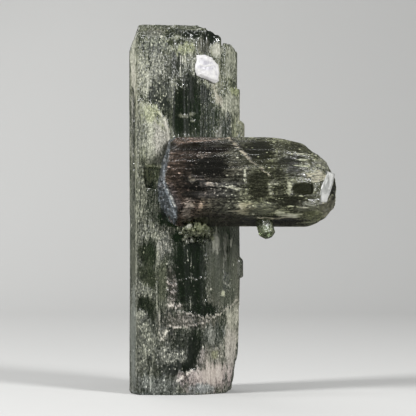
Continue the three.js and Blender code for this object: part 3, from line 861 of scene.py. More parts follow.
# %% Sizes of the cross crystal, in millimetres
CROSS_AXIS = (-10.0, 43.4)
CROSS_START = -5.5
CROSS_CORNERS = [
    (-7.4, -1.2), (-6.9, -5.2), (-4.4, -7.2), (-0.6, -9.0), (4.6, -7.4),
    (7.2, -2.4), (6.9, 4.2), (3.2, 8.3), (-1.6, 9.1), (-5.6, 6.3),
    (-7.2, 2.4),
]
DOME = {"top": 15.0, "underside": 24.4, "tip": 31.4, "power": 0.5, "ragged": 0.45}
CROSS_ENDS = {
    "upper break": ((-4.5, -14, 44.1), (-0.965, -0.1, 0.2), 0.25),
    "lower break": ((-4.5, -16.5, 43.6), (-0.86, -0.3, -0.41), 0.2),
    "upper corner": ((-2.9, -14, 51.4), (-0.6, -0.1, 0.75), 0.15),
    "tip face": ((30.5, -10, 42.5), (0.97, -0.12, -0.06), 0.12),
    "tip corner": ((29.4, -10, 37.6), (0.72, 0.25, -0.6), 0.2),
    "tip shoulder": ((28.6, -10, 46.9), (0.89, 0, 0.45), 0.15),
    "tip top": ((27.0, -10, 48.6), (0.61, 0, 0.79), 0.15),
}
PIT = ((22.4, -20.0, 40.8), (25.6, -13.4, 43.0))
PIT_END = {"middle": (22.5, 41.9), "radius": 1.1}
print("cross crystal", DOME["tip"] - CROSS_START, "mm long")

# %% Patches of the cross crystal
CROSS_PATCHES = {
    "olive right": spot((23.4, 43.3), (6.4, 8.0), frost=0.3, olive=0.85),
    "mauve end": spot((0.1, 43.1), (3.0, 8.6), frost=0.2, rose=1),
    "mauve top": spot((4.1, 50.2), (5.8, 1.1), frost=0, rose=1),
    "near black": spot((5.9, 46.3), (5.2, 2.2), frost=0, rose=0.15),
    "dark brown middle": spot((1.9, 42.1), (2.0, 2.4), frost=0.05, rose=0.5),
    "pale blotch": spot((3.9, 48.6), (1.2, 0.5), frost=0.3, rose=0.6),
    "left speck": spot((1.7, 44.0), (0.8, 0.9), frost=0.2, olive=0.4, grain=1),
    "left speck, ring": spot((3.5, 43.8), (0.8, 0.9), frost=0.05, grain=1),
    "grey middle": spot((10.3, 45.1), (2.0, 3.4), frost=0.25, olive=0.35),
    "dark upper": spot((14.8, 49.6), (2.8, 2.1), frost=0, olive=1, grain=0.6, satin=0.2),
    "olive glow": spot((16.8, 48.6), (1.3, 0.8), frost=0.05, olive=1),
    "frosted upper right": spot((22.8, 48.2), (4.6, 2.9), frost=0.25, olive=0.7, grain=0.3),
    "upper right, grey": spot((21.6, 46.9), (2.2, 1.6), frost=0.05, blue=0.15, grain=0.5),
    "upper right, yellow": spot((25.4, 47.7), (2.4, 2.4), frost=0.3, olive=0.8),
    "olive middle": spot((17.6, 45.5), (2.2, 2.2), frost=0.2, olive=0.9),
    "beige block": spot((26.6, 44.5), (1.5, 1.2), soft=0.25, frost=0.55, olive=0.5, rose=0.25),
    "speck patch": spot((7.9, 42.4), (4.4, 0.9), frost=0.15, grain=1),
    "speck patch, low": spot((6.3, 40.9), (4.0, 1.0), frost=0.1, grain=1),
    "dull lower": spot((6.1, 38.5), (4.2, 1.6), frost=0.25, olive=0.5, grain=0.6),
    "pale left spots": spot((3.0, 38.4), (0.5, 0.9), frost=0.6, grain=0.6),
    "mauve foot": spot((0.6, 37.8), (1.1, 2.3), frost=0.5, rose=0.5),
    "cream patch": spot((11.9, 38.1), (1.8, 1.2), frost=0.65, rose=0.3),
    "dark band": spot((14.7, 42.5), (2.3, 2.8), frost=0.15, grain=0.2),
    "olive beside the pit": spot((19.0, 41.7), (1.6, 1.6), frost=0.2, olive=0.9),
    "pale notch": spot((17.0, 42.1), (0.4, 1.4), frost=0.45, olive=0.5),
    "pale notch, top": spot((17.8, 43.1), (0.8, 0.6), frost=0.4, olive=0.5),
    "pit rim": spot((20.9, 41.9), (0.6, 1.5), frost=0.65, olive=0.6),
    "pit": spot((23.8, 41.9), (2.2, 1.1), soft=0.2, frost=0, olive=0, grain=0.2),
    "green glow beside the pit": spot((26.0, 41.4), (0.5, 0.8), soft=0.4, frost=0.35, olive=1),
    "dark under the pit": spot((21.0, 39.5), (4.4, 1.0), frost=0.1, grain=0.5),
    "below the band": spot((15.4, 38.0), (2.8, 1.1), frost=0.35, grain=1),
    "white dashes, left": spot((19.0, 37.2), (1.2, 0.5), frost=0.6, grain=0.6),
    "bright underside": spot((20.9, 36.2), (2.1, 0.7), frost=0.85, olive=0.5),
    "grey right low": spot((24.8, 38.3), (2.6, 1.0), frost=0.35, olive=0.5, grain=0.6),
    "green tip": spot((25.8, 36.5), (2.8, 1.0), frost=0.35, olive=1),
    "dark underside": spot((6.9, 35.4), (6.2, 1.3), frost=0.1, olive=0.5, rose=0.4),
    "dark underside, right": spot((17.8, 35.4), (5.2, 0.9), frost=0.1, olive=0.6, rose=0.3),
    "tip right": spot((28.9, 38.3), (1.6, 2.2), frost=0.35, olive=0.6, rose=0.2, grain=0.8),
    "tip shoulder": spot((28.0, 47.2), (1.4, 1.6), frost=0.4, olive=0.5, grain=0.9),
    "tip cap": spot((30.2, 41.5), (0.8, 1.9), frost=0.05, rose=0.3, blue=0.2, satin=0.6),
}
CROSS_STROKES = {
    "ridge": stroke(
        [(9.1, 52.2), (10.0, 51.0), (11.1, 49.9), (13.0, 47.9)],
        0.6, whole=True, frost=0.25, rose=0.5, olive=0.3, grain=0.9, dent=-0.05,
    ),
    "specks on the ridge": stroke(
        [(9.1, 52.2), (10.0, 51.0), (11.1, 49.9), (13.0, 47.9)],
        0.4, frost=0.65, rose=0.4, grain=1,
    ),
    "foot of the ridge": stroke(
        [(13.0, 47.9), (14.6, 46.5), (17.0, 44.5)],
        0.25, whole=True, frost=0.5, rose=0.4, olive=0.3,
    ),
    # Painted glint: a white dash where the top of the ridge catches the light
    "painted glint on the ridge top": stroke([(8.8, 52.6), (9.6, 51.8)], 0.3, frost=0.9),
    "upright crack": stroke([(12.1, 46.2), (12.0, 43.5), (12.3, 41.6)], 0.16, frost=0.8),
    "second crack": stroke([(10.9, 46.4), (10.4, 43.4)], 0.14, frost=0.4),
    "pale rim on top": stroke(
        [(-1.9, 51.2), (1.0, 51.6), (5.0, 51.7), (9.0, 52.2)], 0.16, frost=0.45, rose=0.9
    ),
    "rim under the pit": stroke([(22.0, 40.6), (23.4, 40.5)], 0.18, whole=True, frost=0.9),
    "line along the middle": stroke([(-2, 43.8), (4, 43.6), (9, 43.9)], 0.1, frost=0.35),
    "line below": stroke([(-0.5, 40.2), (6, 40.0)], 0.1, frost=0.35),
    "bright fibres below": stroke(
        [(14.5, 36.1), (18.5, 35.9), (22, 36.4)], 0.22, frost=0.7, olive=0.4
    ),
    "second bright fibre": stroke([(19, 37.0), (23.5, 36.8)], 0.16, frost=0.75, olive=0.5),
    "fibre high on the right": stroke([(20.5, 49.0), (25.5, 48.9)], 0.16, frost=0.8, olive=0.5),
    "second fibre on the right": stroke([(22, 47.8), (27.5, 47.7)], 0.16, frost=0.75, olive=0.6),
    "third fibre on the right": stroke([(21.5, 46.6), (28, 46.4)], 0.14, frost=0.7, olive=0.6),
    "dashes under the pit": stroke([(20.6, 38.3), (24.5, 38.2)], 0.2, frost=0.85),
    "dash, low left": stroke([(18.4, 37.3), (20.0, 37.2)], 0.25, frost=1),
    "white specks, thick": stroke(
        [(5.0, 42.9), (7.5, 42.7), (11.5, 41.7)], 0.5, frost=0.75, grain=1
    ),
}
BREAK_BLUE = {"frost": 0.3, "grain": 0.8, "satin": 0.0, "blue": 1.0, "rose": 0.0, "olive": 0.0}
BREAK_PATCHES = {
    "inner band of the break": spot((-2.1, 40.3), (0.9, 2.9), tilt=24, frost=0.3, blue=0.8),
    "dark top of the break": spot((-2.5, 50.6), (0.7, 0.8), frost=0.15, blue=1),
    "pale edge of the break": stroke(
        [(-4.1, 46.7), (-4.1, 42.7), (-3.3, 40.7), (-2.5, 38.3), (-1.7, 36.1)],
        0.35, whole=True, frost=0.55, blue=0.9,
    ),
    "flecks on the break": stroke([(-3.3, 41.9), (-1.9, 38.3)], 0.25, frost=0.9, blue=0.3),
}
CROSS_NOISES = {
    "fibres": (3.5, 0.35, 0.35, 71),
    "dashes": (1.1, 0.35, 0.35, 74),
    "blotches": (6.5, 2.4, 2.4, 72),
    "grain": (0.5, 0.3, 0.3, 73),
    "mottles": (1.9, 1.1, 1.1, 75),
    "long_mottles": (5.0, 0.8, 0.8, 76),
    "tear_x": (5.0, 0.5, 0.5, 81),
    "short_tear_x": (1.0, 0.4, 0.4, 82),
    "tear_z": (3.0, 0.5, 0.5, 83),
    "wide_tear_z": (1.8, 1.0, 1.3, 84),
}
CROSS_DETAIL = {"fibres": 0.07, "fibres_lost": 0.03, "dashes": 0.05, "mottles": 0.04, "grain": 0.04}
BROKEN_FACES = ("upper break", "lower break", "upper corner")


def cross_look(x, y, z):
    """How frosted, granular, tinted and dented the cross crystal is at each point."""
    bumps = noises(x, y, z, CROSS_NOISES)
    start = {
        **UNSET,
        "frost": 0.32 + 0.14 * bumps.blotches + 0.15 * ramp(x, 26, 30),
        "grain": 0.3 + 0.3 * bumps.blotches,
        "olive": ramp(x, 4.0, 14.0) * (0.7 + 0.3 * bumps.blotches),
        "rose": ramp(x, 9.0, 0.0),
    }
    tear_x = 1.2 * bumps.tear_x + 0.5 * bumps.short_tear_x
    tear_z = 0.3 * bumps.tear_z + 0.25 * bumps.wide_tear_z
    fray = 0.8 * bumps.fibres + 0.7 * bumps.grain
    on_front = ramp(y, -8.5, -11.0)
    values = layered(start, CROSS_PATCHES | CROSS_STROKES, x, z, tear_x, tear_z, fray, on_front)
    for name in BROKEN_FACES:
        point, normal, _ = CROSS_ENDS[name]
        lay(values, BREAK_BLUE, ramp(plane(x, y, z, point, normal), -0.4, -0.15))
    values = layered(values, BREAK_PATCHES, x, z, 0.3 * tear_x, tear_z, fray, on_front)
    add_detail(values, bumps, CROSS_DETAIL)
    return values


print(len(CROSS_PATCHES), "patches and", len(CROSS_STROKES), "strokes on the cross crystal")

# %% Carve the cross crystal
CROSS_STEP = (0.34, 0.18, 0.18)
CROSS_REACH = 1.0
CROSS_RIB_SEED = 95
CROSS_RELIEF_NOISES = {
    "kernels": (1.6, 0.4, 0.4, 92),
    "grain": (0.6, 0.32, 0.32, 96),
    "lumps": (2.0, 1.2, 1.2, 93),
    "pits": (1.3, 0.7, 0.7, 94),
}
CROSS_ETCHING = {"depth": 0.8, "kernels": 0.1, "lumps": 0.08, "pits": (0.4, 0.7)}
CROSS_RIBS = (1.2, 0.4)


def cross_relief(x, y, z):
    """How far the surface of the cross crystal stands out from its plain solid."""
    way = prism(y - CROSS_AXIS[0], z - CROSS_AXIS[1], CROSS_CORNERS)[1]
    ribs = growth_ribs(way, x, CROSS_RIB_SEED)
    bumps = noises(x, y, z, CROSS_RELIEF_NOISES)
    return etched_relief(cross_look(x, y, z), ribs, bumps, CROSS_ETCHING, CROSS_RIBS)


def cross_field(x, y, z):
    """The plain solid of the cross crystal."""
    b, c = y - CROSS_AXIS[0], z - CROSS_AXIS[1]
    outside = prism(b, c, CROSS_CORNERS)[0]
    radius = np.hypot(b, c)
    up = (c / np.maximum(radius, 0.01) + 1) / 2
    shoulder = DOME["underside"] + (DOME["top"] - DOME["underside"]) * up
    steps = broken_steps(b, c, 1.4, 0.5, 101)
    reach = np.clip((x + DOME["ragged"] * steps - shoulder) / (DOME["tip"] - shoulder), 0, 1)
    rim = radius - outside
    made = outside + rim * (1 - (1 - reach**2) ** DOME["power"])
    made = np.maximum(made, CROSS_START - x)
    made = chipped(made, x, y, z, CROSS_ENDS.values(), steps)
    round_end = np.hypot(x - PIT_END["middle"][0], z - PIT_END["middle"][1]) - PIT_END["radius"]
    return highest(made, -block(x, y, z, *PIT), -np.maximum(round_end, y - PIT[1][1]))


axes = grid((-6.2, -18.6, 33.4), (32.4, -2.0, 53.4), CROSS_STEP)
field = cross_field(*np.ix_(*axes))
relieve(field, axes, CROSS_REACH, cross_relief)
cross, at = skin("cross_crystal", field, axes)
paint(cross, cross_look(*at.T))

# %% [markdown]
# ## The small crystals
# A crust of little yellow-green crystals fills the corner under the cross crystal, and one clear
# bud hangs from its underside. Each is six-sided with a blunt end.

# %% Crust and bud
CRUST_STEP = (0.13, 0.13, 0.13)
BUD_STEP = (0.12, 0.12, 0.12)
# The face of the upright crystal behind the crust turns a corner here, and then slopes back
CORNER_X = 3.3
FACE_SLOPE = 0.74
# Where the underside of the cross crystal starts, how far forward it comes for each step up, and
# how far the crust is rooted in it
UNDERSIDE = {"y": -10.6, "z": 34.1, "slope": 1.8, "root": 0.5}
CRUST_MIDDLE = (2.3, 33.3)
CRUST_REACH = (3.0, 2.0)
CRUST_COUNT = 120
# How deep the crust is rooted, and how much further its middle stands out
CRUST_ROOT = -7.2
CRUST_HEAP = 1.2
# How far its crystals lean to the sides, how thick they are, and how long at least
SIDE_LEAN = 0.7
CRUST_RADIUS = (0.2, 0.5)
CRUST_LENGTH = 1.4
CRUST_PATCHES = {
    "white bit": spot((0.9, 34.5), (0.7, 0.4), frost=0.7, olive=0.1),
    "olive bits": spot((3.2, 34.2), (1.5, 1.0), frost=0.5, olive=1),
    "grey flecks": spot((0.8, 31.2), (1.0, 0.9), frost=0.4, olive=0.1),
    "dark foot": spot((3.4, 31.6), (1.4, 0.9), frost=0.2, olive=0.6),
}
BUD = {"foot": (15.7, -11.4, 36.2), "along": (0.28, -0.25, -1), "radius": 1.75, "length": 4.4}

axes = grid((-1.8, -15.0, 30.0), (7.0, -5.2, 36.6), CRUST_STEP)
x, y, z = np.ix_(*axes)
field = math.inf
chance = np.random.default_rng(12)
for i in range(CRUST_COUNT):
    turn, far = chance.uniform(0, math.tau), math.sqrt(chance.uniform(0, 1))
    foot_x = CRUST_MIDDLE[0] + CRUST_REACH[0] * far * math.cos(turn)
    foot_z = CRUST_MIDDLE[1] + CRUST_REACH[1] * far * math.sin(turn)
    foot_y = CRUST_ROOT + FACE_SLOPE * max(0, foot_x - CORNER_X) - CRUST_HEAP * (1 - far)
    lean = (chance.uniform(-SIDE_LEAN, SIDE_LEAN), -1, chance.uniform(-0.8, 0.5))
    if foot_z > UNDERSIDE["z"]:
        foot_y = UNDERSIDE["y"] - UNDERSIDE["slope"] * (foot_z - UNDERSIDE["z"]) + UNDERSIDE["root"]
        lean = (chance.uniform(-SIDE_LEAN, SIDE_LEAN), -0.8, -1)
    radius = chance.uniform(*CRUST_RADIUS)
    made = small_crystal(x, y, z, (foot_x, foot_y, foot_z), lean, radius, CRUST_LENGTH + radius)
    field = np.minimum(field, made)
crust, at = skin("crust", field, axes, whole=False)
clumps = noise(*(at.T / 0.5), seed=121)
crumbs = noise(*(at.T / 0.25), seed=123)
plain = {"frost": 0.4 + 0.2 * clumps, "grain": 0.6, "satin": 0, "olive": 0.7, "rose": 0, "blue": 0}
look = layered(plain, CRUST_PATCHES, at[:, 0], at[:, 2], 0.3 * clumps, 0.3 * crumbs, crumbs, 1.0)
look["frost"] = look["frost"] + 0.15 * crumbs
paint(crust, look)

axes = grid((12.8, -15.4, 30.6), (20.0, -8.6, 37.4), BUD_STEP)
bud, at = skin("hanging_bud", small_crystal(*np.ix_(*axes), **BUD), axes)
clumps = noise(*(at.T / 0.8), seed=122)
plain = {"frost": 0.25 + 0.2 * clumps, "grain": 0.5, "satin": 0, "olive": 0.8, "rose": 0, "blue": 0}
paint(bud, plain)

# %% [markdown]
# ## The chip and the blade
# A white chip of albite sits near the top right, and a silvery blade at the tip of the cross
# crystal.

# %% Chip and blade
# Half the size of the grid round a seated plate, and how far from it the relief is worked out
SEAT_REACH = 4.4
SEAT_RELIEF_REACH = 0.6
# Where each plate sits and how it is turned, its depths and bevel, the step of its grid, how high
# its bumps and dimples stand, and how much frost it has evenly and in clouds
CHIP = {
    "at": (4.7, -6.7, 66.5), "turn": 0.5, "back": 0.6, "front": -0.8, "bevel": 0.5,
    "step": (0.1, 0.1, 0.1), "heights": (0.14, 0.05), "frost": (0.8, 0.1),
}
BLADE = {
    "at": (28.3, -14.7, 41.8), "turn": 0.5, "back": 1.3, "front": -0.75, "bevel": 0.35,
    "step": (0.1, 0.1, 0.14), "heights": (0.12, 0.03), "frost": (0.5, 0.3),
}
CHIP_OUTLINE = [
    (-2.6, -1.5), (1.6, -2.85), (2.3, -2.4), (2.5, -0.9), (2.1, 0.9),
    (0.8, 2.3), (-0.9, 2.9), (-2.55, 2.7), (-3.0, -0.2),
]
BLADE_OUTLINE = [(-1.5, -2.7), (0.5, -2.7), (1.2, 0.4), (2.2, 3.0), (0.3, 3.7), (-1.8, -0.7)]
CHIP_NOISES = {
    "bumps": (1.1, 1.1, 1.1, 111),
    "dimples": (0.4, 0.4, 0.4, 112),
    "clouds": (0.9, 0.9, 0.9, 115),
}
BLADE_NOISES = {
    "bumps": (0.7, 0.7, 6, 113),
    "dimples": (0.4, 0.4, 0.6, 114),
    "clouds": (0.3, 0.3, 2.0, 116),
}
CHIP_PATCHES = {
    "lilac middle": spot((4.1, 67.2), (1.7, 1.0), tilt=-12, frost=0.35),
    "white vein": stroke([(2.6, 67.6), (4.0, 67.0), (5.6, 67.4)], 0.25, whole=True, frost=0.9),
    "lilac vein": stroke([(5.5, 68.0), (6.3, 66.6), (6.5, 64.8)], 0.2, whole=True, frost=0.4),
}
BLADE_PATCHES = {
    "white foot": spot((28.1, 40.0), (1.1, 1.1), soft=0.9, frost=0.9),
    "bright streak of the blade": stroke([(29.6, 44.6), (29.0, 42.0)], 0.3, frost=0.85),
}


def seated(x, y, z, outline, spec):
    """A plate turned to lie along its host's surface."""
    dx, dy = x - spec["at"][0], y - spec["at"][1]
    c, s = math.cos(spec["turn"]), math.sin(spec["turn"])
    across, deep = dx * c + dy * s, dy * c - dx * s
    high = z - spec["at"][2]
    return plate(across, deep, high, outline, spec["back"], spec["front"], spec["bevel"])


def seated_piece(name, spec, outline, table, patches):
    """A seated plate with its relief and its painted values, as an object."""

    def relief(x, y, z):
        made = noises(x, y, z, table)
        return spec["heights"][0] * made.bumps + spec["heights"][1] * made.dimples

    low, high = [[m + side for m in spec["at"]] for side in (-SEAT_REACH, SEAT_REACH)]
    axes = grid(low, high, spec["step"])
    field = seated(*np.ix_(*axes), outline, spec)
    relieve(field, axes, SEAT_RELIEF_REACH, relief)
    piece, at = skin(name, field, axes)
    x, y, z = at.T
    clouds = noises(x, y, z, table).clouds
    plain = {"frost": spec["frost"][0] + spec["frost"][1] * clouds}
    paint(piece, layered(plain, patches, x, z, 0.3 * clouds, 0.3 * clouds, clouds, 1.0))
    return piece


chip = seated_piece("white_chip", CHIP, CHIP_OUTLINE, CHIP_NOISES, CHIP_PATCHES)
blade = seated_piece("pale_blade", BLADE, BLADE_OUTLINE, BLADE_NOISES, BLADE_PATCHES)

# %% [markdown]
# ## Finishes
# Elbaite is a see-through mineral: light goes in, is bent and is swallowed on the way. So its
# material has a plain Transmission Weight, its own IOR and an absorbing inside. What makes it
# look like a natural crystal is on its surface: frost, fibres, specks and cracks. They are used
# by several materials, so each is a node group, built once.

# %% Node helpers


def feed(tree, node, inputs):
    """Sets inputs of a node, by name or number, to values or to other nodes' outputs."""
    for name, value in inputs.items():
        if isinstance(value, bpy.types.NodeSocket):
            tree.links.new(value, node.inputs[name])
        else:
            node.inputs[name].default_value = value


def add(tree, kind, inputs=None, **settings):
    """A new node with its settings and inputs."""
    made = tree.nodes.new(kind)
    for name, value in settings.items():
        setattr(made, name, value)
    feed(tree, made, inputs or {})
    return made


def calc(tree, operation, *values, clamp=False):
    """The output of a Math node."""
    inputs = dict(enumerate(values))
    return add(tree, "ShaderNodeMath", inputs, operation=operation, use_clamp=clamp).outputs[0]


def times(tree, first, second):
    """Two values multiplied."""
    return calc(tree, "MULTIPLY", first, second)


def plus(tree, first, second, clamp=False):
    """Two values added."""
    return calc(tree, "ADD", first, second, clamp=clamp)


def blend_colour(tree, factor, first, second, how="MIX"):
    """The output of a Mix node for two colours."""
    inputs = {0: factor, 6: first, 7: second}
    return add(tree, "ShaderNodeMix", inputs, data_type="RGBA", blend_type=how).outputs[2]


def spread(tree, value, low, high, to_low=0.0, to_high=1.0):
    """A Map Range node, smooth and kept between its ends."""
    inputs = {0: value, 1: low, 2: high, 3: to_low, 4: to_high}
    return add(tree, "ShaderNodeMapRange", inputs, interpolation_type="SMOOTHSTEP").outputs[0]


def noise_node(tree, place, scale, detail):
    """The value of a Noise Texture node."""
    inputs = {"Vector": place, "Scale": scale, "Detail": detail}
    return add(tree, "ShaderNodeTexNoise", inputs).outputs[0]


def new_group(name, inputs, outputs):
    """An empty shader node group: the group, what comes into it, and its output node.

    A tuple among the inputs makes a vector socket and a number a plain one.
    """
    group = bpy.data.node_groups.new(name, "ShaderNodeTree")
    for socket, value in inputs.items():
        kind = "NodeSocketVector" if isinstance(value, tuple) else "NodeSocketFloat"
        group.interface.new_socket(socket, in_out="INPUT", socket_type=kind).default_value = value
    for socket in outputs:
        group.interface.new_socket(socket, in_out="OUTPUT", socket_type="NodeSocketFloat")
    return group, group.nodes.new("NodeGroupInput").outputs, group.nodes.new("NodeGroupOutput")


def stretched(tree, coming_in):
    """The place that comes into a group, times its stretch."""
    inputs = {0: coming_in["Place"], 1: coming_in["Stretch"]}
    return add(tree, "ShaderNodeVectorMath", inputs, operation="MULTIPLY").outputs[0]


print("node helpers ready")

# %% Fibres, specks and cracks as groups
FINE_FIBRES = 2.7
CURL_SIZE = 0.35
# Cracks: how their layers wander, and where they show
WARP_SCALE, WARP_REACH = 110.0, 1.6
CRACKED_SCALE, CRACKED_PLACES = 260.0, (0.5, 0.62)

defaults = {"Place": (0, 0, 0), "Stretch": (1, 1, 0.05), "Scale": 1500.0}
fibres_group, start, end = new_group("growth fibres", defaults, ["Fibres", "Fine fibres"])
tree = fibres_group
place = stretched(tree, start)
broad = noise_node(tree, place, start["Scale"], 2.0)
fine = noise_node(tree, place, times(tree, start["Scale"], FINE_FIBRES), 1.0)
made = {"Fibres": spread(tree, broad, 0.3, 0.7), "Fine fibres": spread(tree, fine, 0.3, 0.7)}
feed(tree, end, made)

defaults = {"Place": (0, 0, 0), "Stretch": (1, 1, 1), "Scale": 1400.0, "Amount": 0.3}
names = ["Grain", "Specks", "Kernels", "Facets", "Curls"]
specks_group, start, end = new_group("frost specks", defaults, names)
tree = specks_group
place = stretched(tree, start)
cells = {"Vector": place, "Scale": start["Scale"]}
grain = noise_node(tree, place, start["Scale"], 3.0)
dots = add(tree, "ShaderNodeTexVoronoi", cells).outputs
facets = add(tree, "ShaderNodeTexVoronoi", cells, distance="MANHATTAN").outputs
chance = add(tree, "ShaderNodeSeparateColor", {0: dots["Color"]}).outputs
chosen = calc(tree, "LESS_THAN", chance[0], start["Amount"])
curl = noise_node(tree, place, times(tree, start["Scale"], CURL_SIZE), 3.0)
off_middle = calc(tree, "ABSOLUTE", calc(tree, "SUBTRACT", curl, 0.5))
made = {
    "Grain": spread(tree, grain, 0.32, 0.68),
    "Specks": times(tree, chosen, spread(tree, dots["Distance"], 0.42, 0.18)),
    "Kernels": times(tree, chance[1], spread(tree, dots["Distance"], 0.65, 0.1)),
    "Facets": facets["Distance"],
    "Curls": spread(tree, off_middle, 0.05, 0.0),
}
feed(tree, end, made)

defaults = {"Place": (0, 0, 0), "Along": (0, 0, 1), "Spacing": 0.006, "Width": 0.03}
cracks_group, start, end = new_group("cross cracks", defaults, ["Cracks"])
tree = cracks_group
both = {0: start["Place"], 1: start["Along"]}
height = add(tree, "ShaderNodeVectorMath", both, operation="DOT_PRODUCT").outputs["Value"]
warp = times(tree, noise_node(tree, start["Place"], WARP_SCALE, 3.0), WARP_REACH)
level = plus(tree, calc(tree, "DIVIDE", height, start["Spacing"]), warp)
within = calc(tree, "SUBTRACT", calc(tree, "FRACT", level), 0.5)
line = spread(tree, calc(tree, "ABSOLUTE", within), start["Width"], 0.0)
here_only = spread(tree, noise_node(tree, start["Place"], CRACKED_SCALE, 2.0), *CRACKED_PLACES)
feed(tree, end, {"Cracks": times(tree, line, here_only)})
print("groups:", [g.name for g in bpy.data.node_groups])

# %% Elbaite
DARK_GREEN = (0.010, 0.020, 0.006, 1)
DARK_BROWN = (0.016, 0.015, 0.009, 1)
PALE_FROST = (0.62, 0.605, 0.525, 1)
OLIVE = (0.93, 1.0, 0.62, 1)
PINK = (0.98, 0.80, 0.93, 1)
MAUVE = (1.0, 0.71, 0.62, 1)
BLUE = (0.62, 0.76, 1.0, 1)
ELBAITE_IOR = 1.63
GREEN_GLASS = (0.84, 0.96, 0.80, 1)
BROWN_GLASS = (0.92, 0.93, 0.87, 1)
# What is left of the light on its way through the upright crystal, the cross one and the small ones
GREEN_SWALLOWED = (0.47, 0.57, 0.42, 1)
BROWN_SWALLOWED = (0.53, 0.54, 0.44, 1)
PALE_SWALLOWED = (0.80, 0.84, 0.52, 1)
# The share of each mark: the painted value it follows, from low to high, and the share at each end
SHARES = {
    "speck count": ("grain", 0.6, 1.0, 0.06, 0.3),
    "flake count": ("grain", 0.65, 1.0, 0.03, 0.2),
    "streaks": ("grain", 0, 1, 0.15, 0.06),
    "grains": ("grain", 0, 1, 0.18, 0.26),
    "kernels": ("grain", 0, 1, 0.24, 0.42),
    "unevenness": ("satin", 0, 1, 1.0, 0.25),
    "detail, clear": ("frost", 0.0, 0.45, 0.55, 1.0),
    "detail, white": ("frost", 0.45, 0.8, 1.0, 0.6),
    "specks": ("grain", 0, 1, 0.4, 0.8),
    "curls": ("grain", 0.7, 1.0, 0.0, 0.6),
    "curls, clear": ("frost", 0.0, 0.3, 0.4, 1.0),
    "flakes": ("frost", 0.0, 0.3, 0.15, 0.8),
    "facets": ("grain", 0, 1, 0.35, 0.6),
    "relief": ("frost", 0.0, 0.5, 0.08, 1.0),
    "dullness": ("grain", 0.3, 1.0, 0.0, 0.25),
}
# What follows the whiteness: its low and high, and the value at each
TINT_SHARE = (0.5, 1.0, 1.0, 0.4)
SKIN_ROUGHNESS = (0.1, 0.9, 0.32, 0.5)
GLASS_ROUGHNESS = (0.0, 0.6, 0.12, 0.3)
SKIN_COVER = (0.0, 0.7, 0.2, 1.0)
# How fine each mark is, and where the noise behind it is neither light nor dark
FIBRE_SCALE, SPECK_SCALE, FLAKE_SCALE = 3200.0, 3400.0, 1900.0
CRACK_SPACING, CRACK_WIDTH = 0.0062, 0.04
MIDDLE, KERNEL_MIDDLE = 0.5, 0.27
HAIR_SHARE = 0.12
CRACK_SHARE = 0.8
FIBRE_RELIEF = 0.6
FROST_POWER = 1.5
RELIEF_HEIGHT = 0.00015


def value_of(tree, name):
    """The number that a vertex carries under this name."""
    return add(tree, "ShaderNodeAttribute", attribute_name=name).outputs["Fac"]


def about_nothing(tree, value, middle, share):
    """A value taken from its middle and scaled, so that it lightens as often as it darkens."""
    return times(tree, calc(tree, "SUBTRACT", value, middle), share)


def use(tree, group, **inputs):
    """The outputs of a node group placed in a material, with this material's own values."""
    return add(tree, "ShaderNodeGroup", inputs, node_tree=group).outputs


def whiteness(tree, place, stretch, squeeze, along):
    """How white the surface is with its fine detail, the fine relief, and how dull grain makes it.

    stretch lengthens the fibres along the crystal, and squeeze the specks and kernels, but less.
    """
    painted = {name: value_of(tree, name) for name in ("frost", "grain", "satin")}
    shares = {mark: spread(tree, painted[name], *curve) for mark, (name, *curve) in SHARES.items()}
    grainy = {"Place": place, "Stretch": squeeze}
    crossing = {"Place": place, "Along": along, "Spacing": CRACK_SPACING, "Width": CRACK_WIDTH}
    fibres = use(tree, fibres_group, Place=place, Stretch=stretch, Scale=FIBRE_SCALE)
    specks = use(tree, specks_group, **grainy, Scale=SPECK_SCALE, Amount=shares["speck count"])
    flakes = use(tree, specks_group, **grainy, Scale=FLAKE_SCALE, Amount=shares["flake count"])
    cracks = use(tree, cracks_group, **crossing)

    streaks = about_nothing(tree, fibres["Fibres"], MIDDLE, shares["streaks"])
    hairs = about_nothing(tree, fibres["Fine fibres"], MIDDLE, HAIR_SHARE)
    grains = about_nothing(tree, specks["Grain"], MIDDLE, shares["grains"])
    kernels = about_nothing(tree, specks["Kernels"], KERNEL_MIDDLE, shares["kernels"])
    detail = plus(tree, plus(tree, plus(tree, streaks, hairs), grains), kernels)
    room = times(tree, shares["detail, clear"], shares["unevenness"])
    room = times(tree, shares["detail, white"], room)
    white = plus(tree, painted["frost"], times(tree, detail, room), clamp=True)
    marks = [
        (specks["Specks"], shares["specks"]),
        (specks["Curls"], times(tree, shares["curls"], shares["curls, clear"])),
        (flakes["Specks"], shares["flakes"]),
        (cracks["Cracks"], times(tree, painted["frost"], CRACK_SHARE)),
    ]
    for mark, share in marks:
        white = calc(tree, "MAXIMUM", white, times(tree, mark, share))

    facets = times(tree, specks["Facets"], shares["facets"])
    relief = plus(tree, times(tree, fibres["Fibres"], FIBRE_RELIEF), facets)
    relief = times(tree, times(tree, relief, shares["relief"]), shares["unevenness"])
    return white, relief, shares["dullness"]


def absorb(tree, colour, density):
    """Fills the inside of a material with something that swallows light."""
    inside = add(tree, "ShaderNodeVolumeAbsorption", {"Color": colour, "Density": density})
    feed(tree, tree.nodes["Material Output"], {"Volume": inside.outputs[0]})


